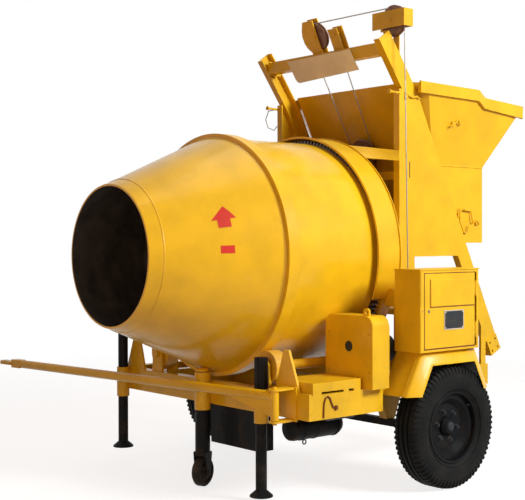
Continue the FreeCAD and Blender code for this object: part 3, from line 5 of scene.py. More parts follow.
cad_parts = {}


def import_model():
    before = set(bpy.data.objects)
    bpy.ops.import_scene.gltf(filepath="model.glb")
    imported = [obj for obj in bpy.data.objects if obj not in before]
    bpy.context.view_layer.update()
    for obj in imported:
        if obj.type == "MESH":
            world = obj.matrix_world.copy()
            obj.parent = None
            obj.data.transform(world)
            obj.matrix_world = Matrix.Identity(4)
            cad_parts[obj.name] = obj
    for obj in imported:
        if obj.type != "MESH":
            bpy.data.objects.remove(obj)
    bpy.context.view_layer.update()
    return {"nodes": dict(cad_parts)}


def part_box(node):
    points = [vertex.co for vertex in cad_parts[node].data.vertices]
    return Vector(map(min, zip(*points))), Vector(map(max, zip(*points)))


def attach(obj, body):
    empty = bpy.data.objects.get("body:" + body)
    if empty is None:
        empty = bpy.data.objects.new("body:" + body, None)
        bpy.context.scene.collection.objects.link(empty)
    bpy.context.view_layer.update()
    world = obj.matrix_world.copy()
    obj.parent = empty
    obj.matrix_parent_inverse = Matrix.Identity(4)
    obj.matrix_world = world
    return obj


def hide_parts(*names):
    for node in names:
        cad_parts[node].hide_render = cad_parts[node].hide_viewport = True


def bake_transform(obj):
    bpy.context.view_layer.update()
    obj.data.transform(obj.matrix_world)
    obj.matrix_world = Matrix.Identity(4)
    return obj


# Portable concrete mixer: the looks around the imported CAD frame.
# Places and sizes are construction millimetres, as in the part's source: ground z = 0, axle x = 0,
# middle plane of the drum y = 0, x forward to the mouth, +y the left side. W() turns them into
# row-frame metres, which the materials work in.

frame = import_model()
nodes = frame["nodes"]

axle_low, axle_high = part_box("axle_beam")
SHIFT_X = (axle_low.x + axle_high.x) / 2
SHIFT_Y = (axle_low.y + axle_high.y) / 2
LEFT, RIGHT = 1, -1
SIDE_NAMES = {LEFT: "left", RIGHT: "right"}


def W(x, y, z):
    """Row-frame metres of a construction point."""
    return Vector((x / 1000 + SHIFT_X, y / 1000 + SHIFT_Y, z / 1000))


def box_of(name):
    """Low and high corner of a node in construction millimetres."""
    return [((p.x - SHIFT_X) * 1000, (p.y - SHIFT_Y) * 1000, p.z * 1000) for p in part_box(name)]


def middle_of(name):
    return [(a + b) / 2 for a, b in zip(*box_of(name))]


# What the dressing takes from the part's boxes, and below that from its construction
AXIS_Z = middle_of("drum_shell")[2]
MOUTH_END_X, DRUM_R = box_of("drum_shell")[1][:2]
WHEEL_Y, WHEEL_Z = middle_of("tyre_left")[1:]
POST_Y = box_of("tower_posts")[1][1]            # outer face of rails and posts
PLATFORM_Y = box_of("chassis_frame")[1][1]      # outer face of the front platform
REAR_SEAM_X, FRONT_SEAM_X = 85.0, 998.0         # seams of the drum's barrel with its cones
MOUTH_X, MOUTH_R = MOUTH_END_X - 84.0, 450.0    # seam of front cone and mouth band
SKIP_Y = 530.0                      # outer face of the skip's upright walls
FLARE_Z, FLARE = 2009.0, 0.2218     # where the skip's walls start to flare, and by how much
DOOR_Y = 1139.0                     # outer face of the cabinet door
LEAN = math.radians(26.5)           # slope of the mast from the upright
STEP_X, STEP_Z = math.sin(LEAN), math.cos(LEAN)


# ---------------------------------------------------------------- material nodes
DUST = (0.20, 0.13, 0.07)
DUST_TOP, DUST_FULL = 1.15, 0.25    # metres over the ground where dust starts and is thickest
SCUFF = (0.10, 0.05, 0.03)
YELLOW = (0.80, 0.485, 0.010)
FRAME_YELLOW = (0.78, 0.465, 0.010)
INWARD = -0.02                      # below this a face looks towards its axis


def new_material(name):
    material = bpy.data.materials.new(name)
    material.use_nodes = True
    tree = material.node_tree
    return material, tree, tree.nodes["Principled BSDF"]


def node(tree, kind, **inputs):
    made = tree.nodes.new(kind)
    for key, value in inputs.items():
        made.inputs[key.replace("_", " ")].default_value = value
    return made


def feed(tree, socket, value):
    """Links an output, or sets a number, a vector or a colour."""
    if hasattr(value, "links"):
        tree.links.new(value, socket)
    elif isinstance(value, tuple) and socket.type == "RGBA":
        socket.default_value = (*value, 1.0)
    else:
        socket.default_value = value


def noise(tree, coords, scale, detail=4.0, rough=0.55):
    made = node(tree, "ShaderNodeTexNoise", Scale=scale, Detail=detail, Roughness=rough)
    tree.links.new(coords, made.inputs["Vector"])
    return made.outputs["Fac"]


def ramp(tree, source, low, high):
    """0 at low and 1 at high, held beyond them."""
    made = node(tree, "ShaderNodeMapRange", From_Min=low, From_Max=high)
    tree.links.new(source, made.inputs["Value"])
    return made.outputs["Result"]


def mix(tree, share, colour_a, colour_b):
    made = tree.nodes.new("ShaderNodeMix")
    made.data_type = "RGBA"
    for key, value in (("Factor", share), (6, colour_a), (7, colour_b)):
        feed(tree, made.inputs[key], value)
    return made.outputs[2]


def calc(tree, operation, a, b=0.0):
    made = tree.nodes.new("ShaderNodeMath")
    made.operation = operation
    for socket, value in zip(made.inputs, (a, b)):
        feed(tree, socket, value)
    return made.outputs[0]


def vector_calc(tree, operation, a, b=(0.0, 0.0, 0.0)):
    made = tree.nodes.new("ShaderNodeVectorMath")
    made.operation = operation
    for socket, value in zip(made.inputs, (a, b)):
        feed(tree, socket, value)
    return made.outputs["Value" if operation in ("LENGTH", "DOT_PRODUCT") else "Vector"]


def patches(tree, coords, scale, low, high, amount):
    """Ragged patches of dirt or rust, up to amount strong."""
    ragged = noise(tree, coords, scale, detail=8.0, rough=0.7)
    return calc(tree, "MULTIPLY", ramp(tree, ragged, low, high), amount)


def bump(tree, shader, height, strength, distance):
    made = node(tree, "ShaderNodeBump", Strength=strength, Distance=distance)
    tree.links.new(height, made.inputs["Height"])
    tree.links.new(made.outputs["Normal"], shader.inputs["Normal"])


def place(tree, output="Object"):
    """Position in the row frame at rest: the object's own coordinates."""
    return tree.nodes.new("ShaderNodeTexCoord").outputs[output]


def height_of(tree, vector):
    split = tree.nodes.new("ShaderNodeSeparateXYZ")
    tree.links.new(vector, split.inputs["Vector"])
    return split.outputs["Z"]


def arm(tree, centre, spread):
    """Vector to the point from an axis through centre; spread is 0 along the axis and 1 across it."""
    away = vector_calc(tree, "SUBTRACT", place(tree), centre)
    return vector_calc(tree, "MULTIPLY", away, spread)


def inward_face(tree, centre, spread):
    """1 on faces that look towards the axis, 0 on the others."""
    turned = vector_calc(tree, "DOT_PRODUCT", arm(tree, centre, spread), place(tree, "Normal"))
    return calc(tree, "LESS_THAN", turned, INWARD)


def recolour(material, share, colour):
    """Lays a second colour over what feeds the base colour already."""
    tree = material.node_tree
    base = tree.nodes["Principled BSDF"].inputs["Base Color"]
    tree.links.new(mix(tree, share, base.links[0].from_socket, colour), base)


# ---------------------------------------------------------------- finishes
def paint(name, colour, gloss=0.30, dirt=0.16, coat=0.12, shine=0.22):
    """Sprayed enamel: soft waves, faint mottling, dust on low parts, scuffs.

    gloss is the roughness when clean, dirt the share of dust and shine the specular level.
    """
    material, tree, shader = new_material(name)
    coords = place(tree)
    mottle = ramp(tree, noise(tree, coords, 5.0), 0.35, 0.75)
    base = mix(tree, mottle, colour, tuple(c * 0.80 for c in colour))
    grime = patches(tree, coords, 9.0, 0.48, 0.78, dirt)
    low = ramp(tree, height_of(tree, coords), DUST_TOP, DUST_FULL)
    grime = calc(tree, "MULTIPLY", grime, calc(tree, "ADD", 0.35, low))
    base = mix(tree, grime, base, DUST)
    chips = ramp(tree, noise(tree, coords, 60.0, detail=6.0, rough=0.75), 0.70, 0.74)
    base = mix(tree, calc(tree, "MULTIPLY", chips, 0.45), base, SCUFF)
    tree.links.new(base, shader.inputs["Base Color"])
    rough = calc(tree, "ADD", calc(tree, "MULTIPLY", grime, 0.7), gloss)
    tree.links.new(rough, shader.inputs["Roughness"])
    shader.inputs["Coat Weight"].default_value = coat
    shader.inputs["Coat Roughness"].default_value = 0.12
    shader.inputs["Specular IOR Level"].default_value = shine
    grain = calc(tree, "MULTIPLY", noise(tree, coords, 140.0), 0.06)
    bump(tree, shader, calc(tree, "ADD", noise(tree, coords, 7.0, detail=2.0), grain), 0.35, 0.006)
    return material


def drum_paint(coat=0.18):
    """Yellow outside and cement-stained inside."""
    material = paint("drum_enamel", YELLOW, gloss=0.26, dirt=0.12, coat=coat)
    tree = material.node_tree
    shader = tree.nodes["Principled BSDF"]
    inward = inward_face(tree, (0.0, SHIFT_Y, AXIS_Z / 1000), (0.0, 1.0, 1.0))
    cloudy = ramp(tree, noise(tree, place(tree), 6.0, detail=8.0), 0.3, 0.7)
    recolour(material, inward, mix(tree, cloudy, (0.035, 0.032, 0.03), (0.11, 0.10, 0.09)))
    rough = shader.inputs["Roughness"].links[0].from_socket
    tree.links.new(calc(tree, "ADD", rough, calc(tree, "MULTIPLY", inward, 0.5)), shader.inputs["Roughness"])
    bare = calc(tree, "SUBTRACT", coat, calc(tree, "MULTIPLY", inward, coat))
    tree.links.new(bare, shader.inputs["Coat Weight"])
    return material


def roller_paint(side):
    """Yellow roller with the paint partly worn off its tread."""
    material = paint("roller_%d" % side, (0.78, 0.44, 0.010), gloss=0.4, dirt=0.6, coat=0.1)
    tree = material.node_tree
    low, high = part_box("rollers_left" if side > 0 else "rollers_right")
    centre = (0.0, (low.y + high.y) / 2, (low.z + high.z) / 2)
    radius = vector_calc(tree, "LENGTH", arm(tree, centre, (0.0, 1.0, 1.0)))
    uneven = calc(tree, "MULTIPLY", noise(tree, place(tree), 30.0), 0.004)
    tread_edge = ramp(tree, calc(tree, "ADD", radius, uneven), 0.0965, 0.0972)
    recolour(material, calc(tree, "MULTIPLY", tread_edge, 0.15), (0.50, 0.40, 0.24))
    return material


def mudguard_paint_and_shade():
    """Yellow, with the faces towards the wheel's axis painted black as painted shade under the guard."""
    material = paint("fender_enamel_painted_shade", FRAME_YELLOW, gloss=0.34, dirt=0.25)
    # Painted shade: black on the faces that look towards the wheel
    under = inward_face(material.node_tree, (SHIFT_X, 0.0, WHEEL_Z / 1000), (1.0, 0.0, 1.0))
    recolour(material, under, (0.012, 0.012, 0.012))
    return material


def metal(name, colour, rough, stain=(0.16, 0.08, 0.03), amount=0.5):
    """Bare metal with clouds of stain that are rougher and less metallic."""
    material, tree, shader = new_material(name)
    coords = place(tree)
    rust = patches(tree, coords, 14.0, 0.5, 0.75, amount)
    worn = mix(tree, noise(tree, coords, 55.0), colour, tuple(c * 0.72 for c in colour))
    tree.links.new(mix(tree, rust, worn, stain), shader.inputs["Base Color"])
    tree.links.new(calc(tree, "ADD", calc(tree, "MULTIPLY", rust, 0.5), rough), shader.inputs["Roughness"])
    tree.links.new(calc(tree, "SUBTRACT", 0.95, rust), shader.inputs["Metallic"])
    bump(tree, shader, noise(tree, coords, 90.0), 0.25, 0.002)
    return material


def rubber(name, colour, dust):
    material, tree, shader = new_material(name)
    coords = place(tree)
    grime = patches(tree, coords, 7.0, 0.42, 0.75, dust)
    tree.links.new(mix(tree, grime, colour, (0.16, 0.13, 0.10)), shader.inputs["Base Color"])
    shader.inputs["Roughness"].default_value = 0.62
    shader.inputs["Specular IOR Level"].default_value = 0.08
    bump(tree, shader, noise(tree, coords, 180.0, detail=3.0), 0.35, 0.0015)
    return material


yellow_parts = paint("yellow_enamel_frame", FRAME_YELLOW, gloss=0.34, dirt=0.25)
black = paint("black_enamel", (0.010, 0.011, 0.012), gloss=0.40, dirt=0.15, coat=0.0, shine=0.06)
rim_black = paint("rim_enamel", (0.006, 0.007, 0.008), gloss=0.42, dirt=0.06, coat=0.0, shine=0.06)
dark = paint("dark_machine_paint", (0.03, 0.035, 0.04), gloss=0.46, dirt=0.5, coat=0.0, shine=0.12)
red = paint("red_mark", (0.62, 0.035, 0.02), gloss=0.4, dirt=0.3, coat=0.1)
drum_yellow = drum_paint()
mudguard_enamel_and_shade = mudguard_paint_and_shade()
dark_steel = metal("greased_gear", (0.16, 0.13, 0.10), 0.42, stain=(0.05, 0.03, 0.02), amount=0.7)
bolt_steel = metal("bolt_steel", (0.30, 0.29, 0.27), 0.38)
rope_steel = metal("wire_rope", (0.36, 0.33, 0.29), 0.45)
rust_steel = metal("rusty_sheave", (0.20, 0.10, 0.06), 0.5, stain=(0.13, 0.045, 0.02), amount=0.8)
tyre_rubber = rubber("tyre_rubber", (0.005, 0.006, 0.006), dust=0.07)
solid_rubber = rubber("solid_rubber", (0.018, 0.018, 0.018), dust=0.4)
plate_grey = paint("blank_plate", (0.55, 0.50, 0.40), gloss=0.45, dirt=0.25, coat=0.0)
# Dark brown of shade: painted shade on the strips at the door's gap and the panel's edges; the platform's
# pipe takes it too
shade_and_pipe_brown = paint("shadow_groove", (0.16, 0.045, 0.012), gloss=0.6, dirt=0.2, coat=0.0)
sign_beige = paint("blank_sign", (0.93, 0.86, 0.74), gloss=0.6, dirt=0.05, coat=0.0)

# Nodes with a finish of their own; all others are yellow
FINISHES = {
    "drum_shell": drum_yellow, "fenders": mudguard_enamel_and_shade,
    "rollers_left": roller_paint(LEFT), "rollers_right": roller_paint(RIGHT),
    "mixing_blades": dark, "mixing_motor": dark, "hoist_winch": dark, "water_pump": dark,
    "ring_gear": dark_steel, "drive_pinion": dark_steel, "skip_carriage": dark_steel,
    "head_sheave": rust_steel, "side_sheave": rust_steel, "skip_sheave": rust_steel,
    "axle_beam": black, "tool_box": black, "leg_left": black, "leg_right": black, "jockey_column": black,
    "rim_left": rim_black, "rim_right": rim_black, "jockey_wheel": solid_rubber,
    "tyre_left": tyre_rubber, "tyre_right": tyre_rubber,
}
for name, shape in nodes.items():
    shape.data.materials.clear()
    shape.data.materials.append(FINISHES.get(name, yellow_parts))
    shape.data.polygons.foreach_set("use_smooth", [True] * len(shape.data.polygons))
    shape.data.set_sharp_from_angle(angle=math.radians(33))


# ---------------------------------------------------------------- mesh helpers
def skin(spans, count):
    """Faces round a run of spans between rows of count corners each."""
    return [(row + i, row + (i + 1) % count, row + (i + 1) % count + count, row + i + count)
            for row in range(0, spans * count, count) for i in range(count)]


class Build:
    """Collects the faces of one visible piece, in metres."""

    def __init__(self):
        self.verts = []
        self.faces = []
        self.smooth = []

    def add(self, verts, faces, smooth=False):
        start = len(self.verts)
        self.verts += [Vector(v) for v in verts]
        self.faces += [tuple(start + i for i in face) for face in faces]
        self.smooth += [smooth] * len(faces)

    def box(self, x0, x1, y0, y1, z0, z1):
        xs, ys, zs = sorted((x0, x1)), sorted((y0, y1)), sorted((z0, z1))
        verts = [W(xs[i], ys[j], zs[k]) for i in (0, 1) for j in (0, 1) for k in (0, 1)]
        faces = [(0, 1, 3, 2), (4, 6, 7, 5), (0, 4, 5, 1), (2, 3, 7, 6), (0, 2, 6, 4), (1, 5, 7, 3)]
        self.add(verts, faces)

    def prism(self, outline, shift):
        """Outline of metre points pushed along a metre vector."""
        count = len(outline)
        verts = list(outline) + [p + shift for p in outline]
        faces = [tuple(range(count))[::-1], tuple(range(count, 2 * count))]
        faces += [(i, (i + 1) % count, (i + 1) % count + count, i + count) for i in range(count)]
        self.add(verts, faces)

    def spin(self, profile, centre, axis, steps=32, closed=True):
        """(distance along the axis, radius) points in millimetres, turned once round it."""
        axis = Vector(axis).normalized()
        side = axis.orthogonal().normalized()
        other = axis.cross(side)
        count = len(profile)
        verts, faces = [], []
        for step in range(steps):
            angle = 2 * math.pi * step / steps
            out = side * math.cos(angle) + other * math.sin(angle)
            verts += [centre + (axis * a + out * r) / 1000 for a, r in profile]
            a, b = step * count, (step + 1) % steps * count
            faces += [(a + i, a + (i + 1) % count, b + (i + 1) % count, b + i)
                      for i in range(count if closed else count - 1)]
        self.add(verts, faces, True)

    def bar(self, start, end, radius, steps=16):
        """Capped round bar between two metre points, radius in millimetres."""
        length = (end - start).length * 1000
        profile = [(0, 0), (0, radius), (length, radius), (length, 0)]
        self.spin(profile, start, end - start, steps, closed=False)

    def bolt(self, at, axis, radius=9.0, height=8.0, washer=True):
        """Hexagon head on a washer, standing on a metre point."""
        axis = Vector(axis).normalized()
        side = axis.orthogonal().normalized()
        other = axis.cross(side)
        base = at + axis * 0.002
        if washer:
            self.bar(at, base, radius * 1.45, 18)
        ring = [base + (side * math.cos(i * math.pi / 3) + other * math.sin(i * math.pi / 3)) * radius / 1000
                for i in range(6)]
        self.prism(ring, axis * height / 1000)

    def tube(self, points, radius, steps=12):
        """Round tube along metre points."""
        verts = []
        normal = (points[1] - points[0]).orthogonal().normalized()
        for i, p in enumerate(points):
            ahead = points[min(i + 1, len(points) - 1)] - points[max(i - 1, 0)]
            ahead.normalize()
            normal = (normal - ahead * normal.dot(ahead)).normalized()
            other = ahead.cross(normal)
            verts += [p + (normal * math.cos(t) + other * math.sin(t)) * radius / 1000
                      for t in (2 * math.pi * k / steps for k in range(steps))]
        ends = [tuple(range(steps))[::-1], tuple(range(len(verts) - steps, len(verts)))]
        self.add(verts, skin(len(points) - 1, steps) + ends, True)

    def make(self, name, material, body, bevel=0.0):
        """The piece as a Blender object that rides on a body and takes its finish from a slot."""
        mesh = bpy.data.meshes.new(name)
        mesh.from_pydata(self.verts, [], self.faces)
        mesh.materials.append(material)
        mesh.polygons.foreach_set("use_smooth", self.smooth)
        mesh.update()
        obj = bpy.data.objects.new(name, mesh)
        bpy.context.scene.collection.objects.link(obj)
        if any(self.smooth):
            mesh.set_sharp_from_angle(angle=math.radians(38))
        if bevel:
            rounded = obj.modifiers.new("edge", "BEVEL")
            rounded.width = bevel / 1000
            rounded.segments = 2
            rounded.limit_method = "ANGLE"
        if body:
            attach(obj, body)
        return obj


def circle(radius, start=0, end=360, step=20):
    """(sine, cosine) pairs times the radius, from start to end degrees."""
    return [(radius * math.sin(math.radians(a)), radius * math.cos(math.radians(a)))
            for a in range(start, end + 1, step)]


# ---------------------------------------------------------------- drum
GEAR_BOLTS_X = 184.0


def drum_details():
    """Weld beads and mouth edge of the shell, and the gear's bolts; all turn with the drum."""
    centre, along = W(0, 0, AXIS_Z), (1, 0, 0)
    seams = Build()
    for x, r in ((MOUTH_X, MOUTH_R), (FRONT_SEAM_X, DRUM_R), (REAR_SEAM_X, DRUM_R)):
        bead = [(x - 6, r - 2), (x - 2, r + 2.5), (x + 2, r + 2.5), (x + 6, r - 2)]
        seams.spin(bead, centre, along, 96, closed=False)
    rolled_edge = [(-15, 418), (-15, 425), (-1, 419), (-1, 411)]
    seams.spin([(MOUTH_END_X + a, r) for a, r in rolled_edge], centre, along, 96)
    seams.make("drum_weld_seams", drum_yellow, "drum")
    bolts = Build()
    for across, up in circle(1, 8, 338, 30):
        out = Vector((0, across, up))
        bolts.bolt(W(GEAR_BOLTS_X, 0, AXIS_Z) + out * DRUM_R / 1000, out)
    bolts.make("gear_bolts", bolt_steel, "drum")


# Corners as (x along the drum axis, degrees round it from the top)
ARROW_HEAD = [(1388, 69.1), (1249, 69.2), (1303, 61.7), (1309, 61.7)]
ARROW_SHAFT = [(1354, 69.1), (1283, 69.1), (1283, 73.8), (1354, 73.8)]
MARK_BAR = [(1355, 83.9), (1279, 83.9), (1279, 88.2), (1355, 88.2)]
MARK_STEPS = 6


def on_cone(x, turn):
    """Point just over the front cone."""
    r = DRUM_R + (MOUTH_R - DRUM_R) * (x - FRONT_SEAM_X) / (MOUTH_X - FRONT_SEAM_X) + 1.2
    return W(x, r * math.sin(math.radians(turn)), AXIS_Z + r * math.cos(math.radians(turn)))


def cone_mark():
    """Red arrow and bar painted on the front cone, following its surface."""
    marks = Build()
    row = MARK_STEPS + 1
    for (x0, t0), (x1, t1), (x2, t2), (x3, t3) in (ARROW_HEAD, ARROW_SHAFT, MARK_BAR):
        verts = []
        for i in range(row):
            for j in range(row):
                u, v = i / MARK_STEPS, j / MARK_STEPS
                verts.append(on_cone((1 - u) * ((1 - v) * x0 + v * x3) + u * ((1 - v) * x1 + v * x2),
                                     (1 - u) * ((1 - v) * t0 + v * t3) + u * ((1 - v) * t1 + v * t2)))
        starts = [i * row + j for i in range(MARK_STEPS) for j in range(MARK_STEPS)]
        marks.add(verts, [(a, a + 1, a + row + 1, a + row) for a in starts], True)
    marks.make("red_marks", red, "drum")


# ---------------------------------------------------------------- tyres and wheels
TYRE_HALF = box_of("tyre_left")[1][1] - WHEEL_Y
LUGS = 68                           # shoulder lugs on each side
LUG_W, LUG_DEPTH = 9.5, 9.0


def tyre_profile():
    """Section of bead, wall and ribs as (offset from the middle, radius)."""
    wall = [(-0.70, 213), (-0.80, 222), (-0.94, 243), (-1.0, 268), (-1.0, 290), (-0.97, 318), (-0.90, 345),
            (-0.80, 359), (-0.60, 368), (-0.42, 370.5)]
    ribs = [(-0.40, 361), (-0.33, 361), (-0.31, 373), (-0.09, 374), (-0.07, 363), (0.0, 363)]
    half = [(share * TYRE_HALF, r) for share, r in wall + ribs]
    return half + [(-a, r) for a, r in half[-2::-1]] + [(0.66 * TYRE_HALF, 214), (-0.66 * TYRE_HALF, 214)]


def shoulder_lug(made, centre, axis, face, angle):
    """One lug from the tread down the wall, in four rows of four corners."""
    out = Vector((math.cos(angle), 0, math.sin(angle)))
    turn = Vector((-math.sin(angle), 0, math.cos(angle)))
    verts, faces = [], []
    for share, radius, narrow in ((0.44, 374.6, 1), (0.80, 368.5, 0.95), (0.94, 352, 0.9), (0.985, 326, 0.8)):
        across, width = share * TYRE_HALF * face, LUG_W * narrow
        for inset, depth, spread in ((1, 0, 0.62), (0.97, LUG_DEPTH, 0.72)):
            middle = axis * across * inset + out * (radius - depth)
            verts += [centre + (middle + turn * width * s * spread) / 1000 for s in (-1, 1)]
    for o in (0, 4, 8):
        faces += [(o, o + 1, o + 5, o + 4), (o, o + 4, o + 6, o + 2), (o + 1, o + 3, o + 7, o + 5)]
    made.add(verts, faces + [(0, 2, 3, 1), (12, 13, 15, 14)])


def tread(side):
    """Ribbed tyre with shoulder lugs; stands for the plain CAD tyre."""
    centre, axis = W(0, side * WHEEL_Y, WHEEL_Z), Vector((0, side, 0))
    made = Build()
    made.spin(tyre_profile(), centre, axis, 120)
    for face in (-1, 1):
        for i in range(LUGS):
            shoulder_lug(made, centre, axis, face, 2 * math.pi * (i + 0.25 * face) / LUGS)
    for r, low, crest, high in ((236, 86.5, 90.6, 87.4), (300, 91.6, 93.0, 91.6)):
        made.spin([(low, r), (crest, r + 3), (high, r + 7)], centre, axis, 96, closed=False)
    name = SIDE_NAMES[side]
    obj = made.make("tread_" + name, tyre_rubber, "wheel_" + name)
    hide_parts("tyre_" + name)


def wheel_studs(side):
    """Wheel nuts, bolts and ring of the hub, and the valve."""
    centre, out = W(0, side * WHEEL_Y, WHEEL_Z), Vector((0, side, 0))

    def on_rim(degrees, radius, proud):
        t = math.radians(degrees)
        return centre + (Vector((math.cos(t), 0, math.sin(t))) * radius + out * proud) / 1000

    made = Build()
    for i in range(6):
        at = on_rim(60 * i + 10, 92, 12)
        made.bar(at, at + out * 0.024, 6, 12)
        made.bolt(at, out, 13, 12)
    for i in range(8):
        made.bolt(on_rim(45 * i + 22, 45, 26), out, 5, 4, False)
    made.spin([(46, 0), (46, 30), (52, 28), (56, 22), (56, 0)], centre, out, 32, closed=False)
    name = SIDE_NAMES[side]
    made.make("wheel_studs_" + name, dark, "wheel_" + name)
    valve = Build()
    at = on_rim(140, 186, 46)
    valve.bar(at, at + out * 0.026, 4, 10)
    valve.make("valve_" + name, solid_rubber, "wheel_" + name)


# ---------------------------------------------------------------- sign and ropes
BOARD_X, BOARD_Z = 65.0, 2690.0     # a point of the board's rear face
BOARD_T = 6.0
BOARD_OUTLINE = ((-292, 2741), (320, 2749), (348, 2619), (-240, 2596), (-258, 2601), (-270, 2620))
STANDOFF_Z = 2722.0


def on_board(y, z, proud=0.0):
    return W(BOARD_X + (z - BOARD_Z) * math.tan(LEAN) + proud, y, z)


def sign():
    """Blank board in front of the crossbar, parallel to the slope, on two standoffs."""
    made = Build()
    made.prism([on_board(y, z) for y, z in BOARD_OUTLINE], Vector((BOARD_T / 1000, 0, 0)))
    made.make("blank_sign", sign_beige, "chassis", 1.5)
    posts = Build()
    bar_face = box_of("crossbar")[1][0]
    for y in (-180, 220):
        posts.bar(W(bar_face - 2, y, STANDOFF_Z), on_board(y, STANDOFF_Z, 1), 9)
    posts.make("sign_standoffs", bolt_steel, "chassis")


HEAD, SIDE, MOVING = (middle_of(name + "_sheave") for name in ("head", "side", "skip"))
WINCH = middle_of("hoist_winch")
WINCH_Z = 600.0                     # its barrel's axis
ANCHOR = (HEAD[0], 168.0, HEAD[2] - 30)     # eye of the fixed rope end
ROPE_R = 4.0
HEAD_ROPE_R = 88.0                  # where the rope lies on each sheave
SIDE_ROPE_R = 89.0
MOVING_ROPE_R = 94.0


def beside(centre, across, along=0.0):
    """Point on a tilted sheave's plane: across in y, along the slope."""
    return (centre[0] + along * STEP_X, centre[1] + across, centre[2] + along * STEP_Z)


def rope(name, points, bodies=None, body=None):
    made = Build()
    made.tube([W(*p) for p in points], ROPE_R, 10)
    obj = made.make(name, rope_steel, body)
    if bodies:
        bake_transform(obj)


def ropes():
    """Two falls to the skip's sheave, the lead over the mast and down to the winch."""
    rope("rope_fall_head", [beside(HEAD, -HEAD_ROPE_R), beside(MOVING, -MOVING_ROPE_R)], ("chassis", "skip"))
    rope("rope_fall_fixed", [beside(ANCHOR, 0, -24), beside(MOVING, MOVING_ROPE_R)], ("chassis", "skip"))
    lead = [beside(HEAD, HEAD_ROPE_R * math.sin(t), HEAD_ROPE_R * math.cos(t))
            for t in (math.radians(-90 + 98 * step / 20) for step in range(21))]
    rope("rope_lead", lead + [(SIDE[0], SIDE[1] + 10, SIDE[2] + SIDE_ROPE_R)], None, "chassis")
    over_side = [(SIDE[0], SIDE[1] + across, SIDE[2] + up) for across, up in circle(SIDE_ROPE_R, 5, 90, 5)]
    rope("rope_to_winch", over_side + [(WINCH[0] + 50, SIDE[1] + 96, 640)], None, "chassis")
    under = [beside(MOVING, across, -down) for down, across in circle(MOVING_ROPE_R, 0, 180, 10)]
    rope("rope_under_skip_sheave", under, None, "skip")


def rope_fittings():
    """Eye with three clamps on the fixed end, and the turns on the winch barrel."""
    eye = Build()
    eye.tube([W(*beside(ANCHOR, across, up - 4)) for across, up in circle(15, -165, 165, 15)], 5, 8)
    for down in (44, 78, 112):
        eye.bar(W(*beside(ANCHOR, -9, -down)), W(*beside(ANCHOR, 9, -down)), 9, 12)
    eye.make("rope_eye", rope_steel, "chassis")
    coil = Build()
    wound = []
    for k in range(11):
        a = 19 * k - 104
        wound += [(a - 9, 60), (a - 6, 67), (a, 71), (a + 6, 67), (a + 9, 60)]
    coil.spin(wound, W(WINCH[0], WINCH[1], WINCH_Z), (0, 1, 0), 48, closed=False)
    coil.make("rope_coil", rope_steel, "chassis")


# ---------------------------------------------------------------- cabinet
PANEL_X, PANEL_Z = (-165, 236), (1111, 1275)    # pressed panel of the door
PLATE_X, PLATE_Z = (-66, 114), (970, 1087)      # blank plate under it
# Width of the strips of painted shade along two edges of the panel, and rim of the plate
PANEL_SHADE_W, PLATE_RIM = 5, 6
LOCK_X, LOCK_Z = 249, 1086
LATCH_Z0, LATCH_Z1 = 1066, 1112
DOOR_EDGE_X = 284                               # front edge of the leaf
HINGE_X, HINGE_ZS, HINGE_L = -181, (925, 1178), 70


def pressed_panel(made, y0, y1, inset):
    """The panel as a low block with sloping sides."""
    (x0, x1), (z0, z1) = PANEL_X, PANEL_Z
    verts = [W(x, y0, z) for x, z in ((x0, z0), (x1, z0), (x1, z1), (x0, z1))]
    verts += [W(x, y1, z) for x, z in ((x0 + inset, z0 + inset), (x1 - inset, z0 + inset),
                                       (x1 - inset, z1 - inset), (x0 + inset, z1 - inset))]
    made.add(verts, [(3, 2, 1, 0), (4, 5, 6, 7)] + skin(1, 4))


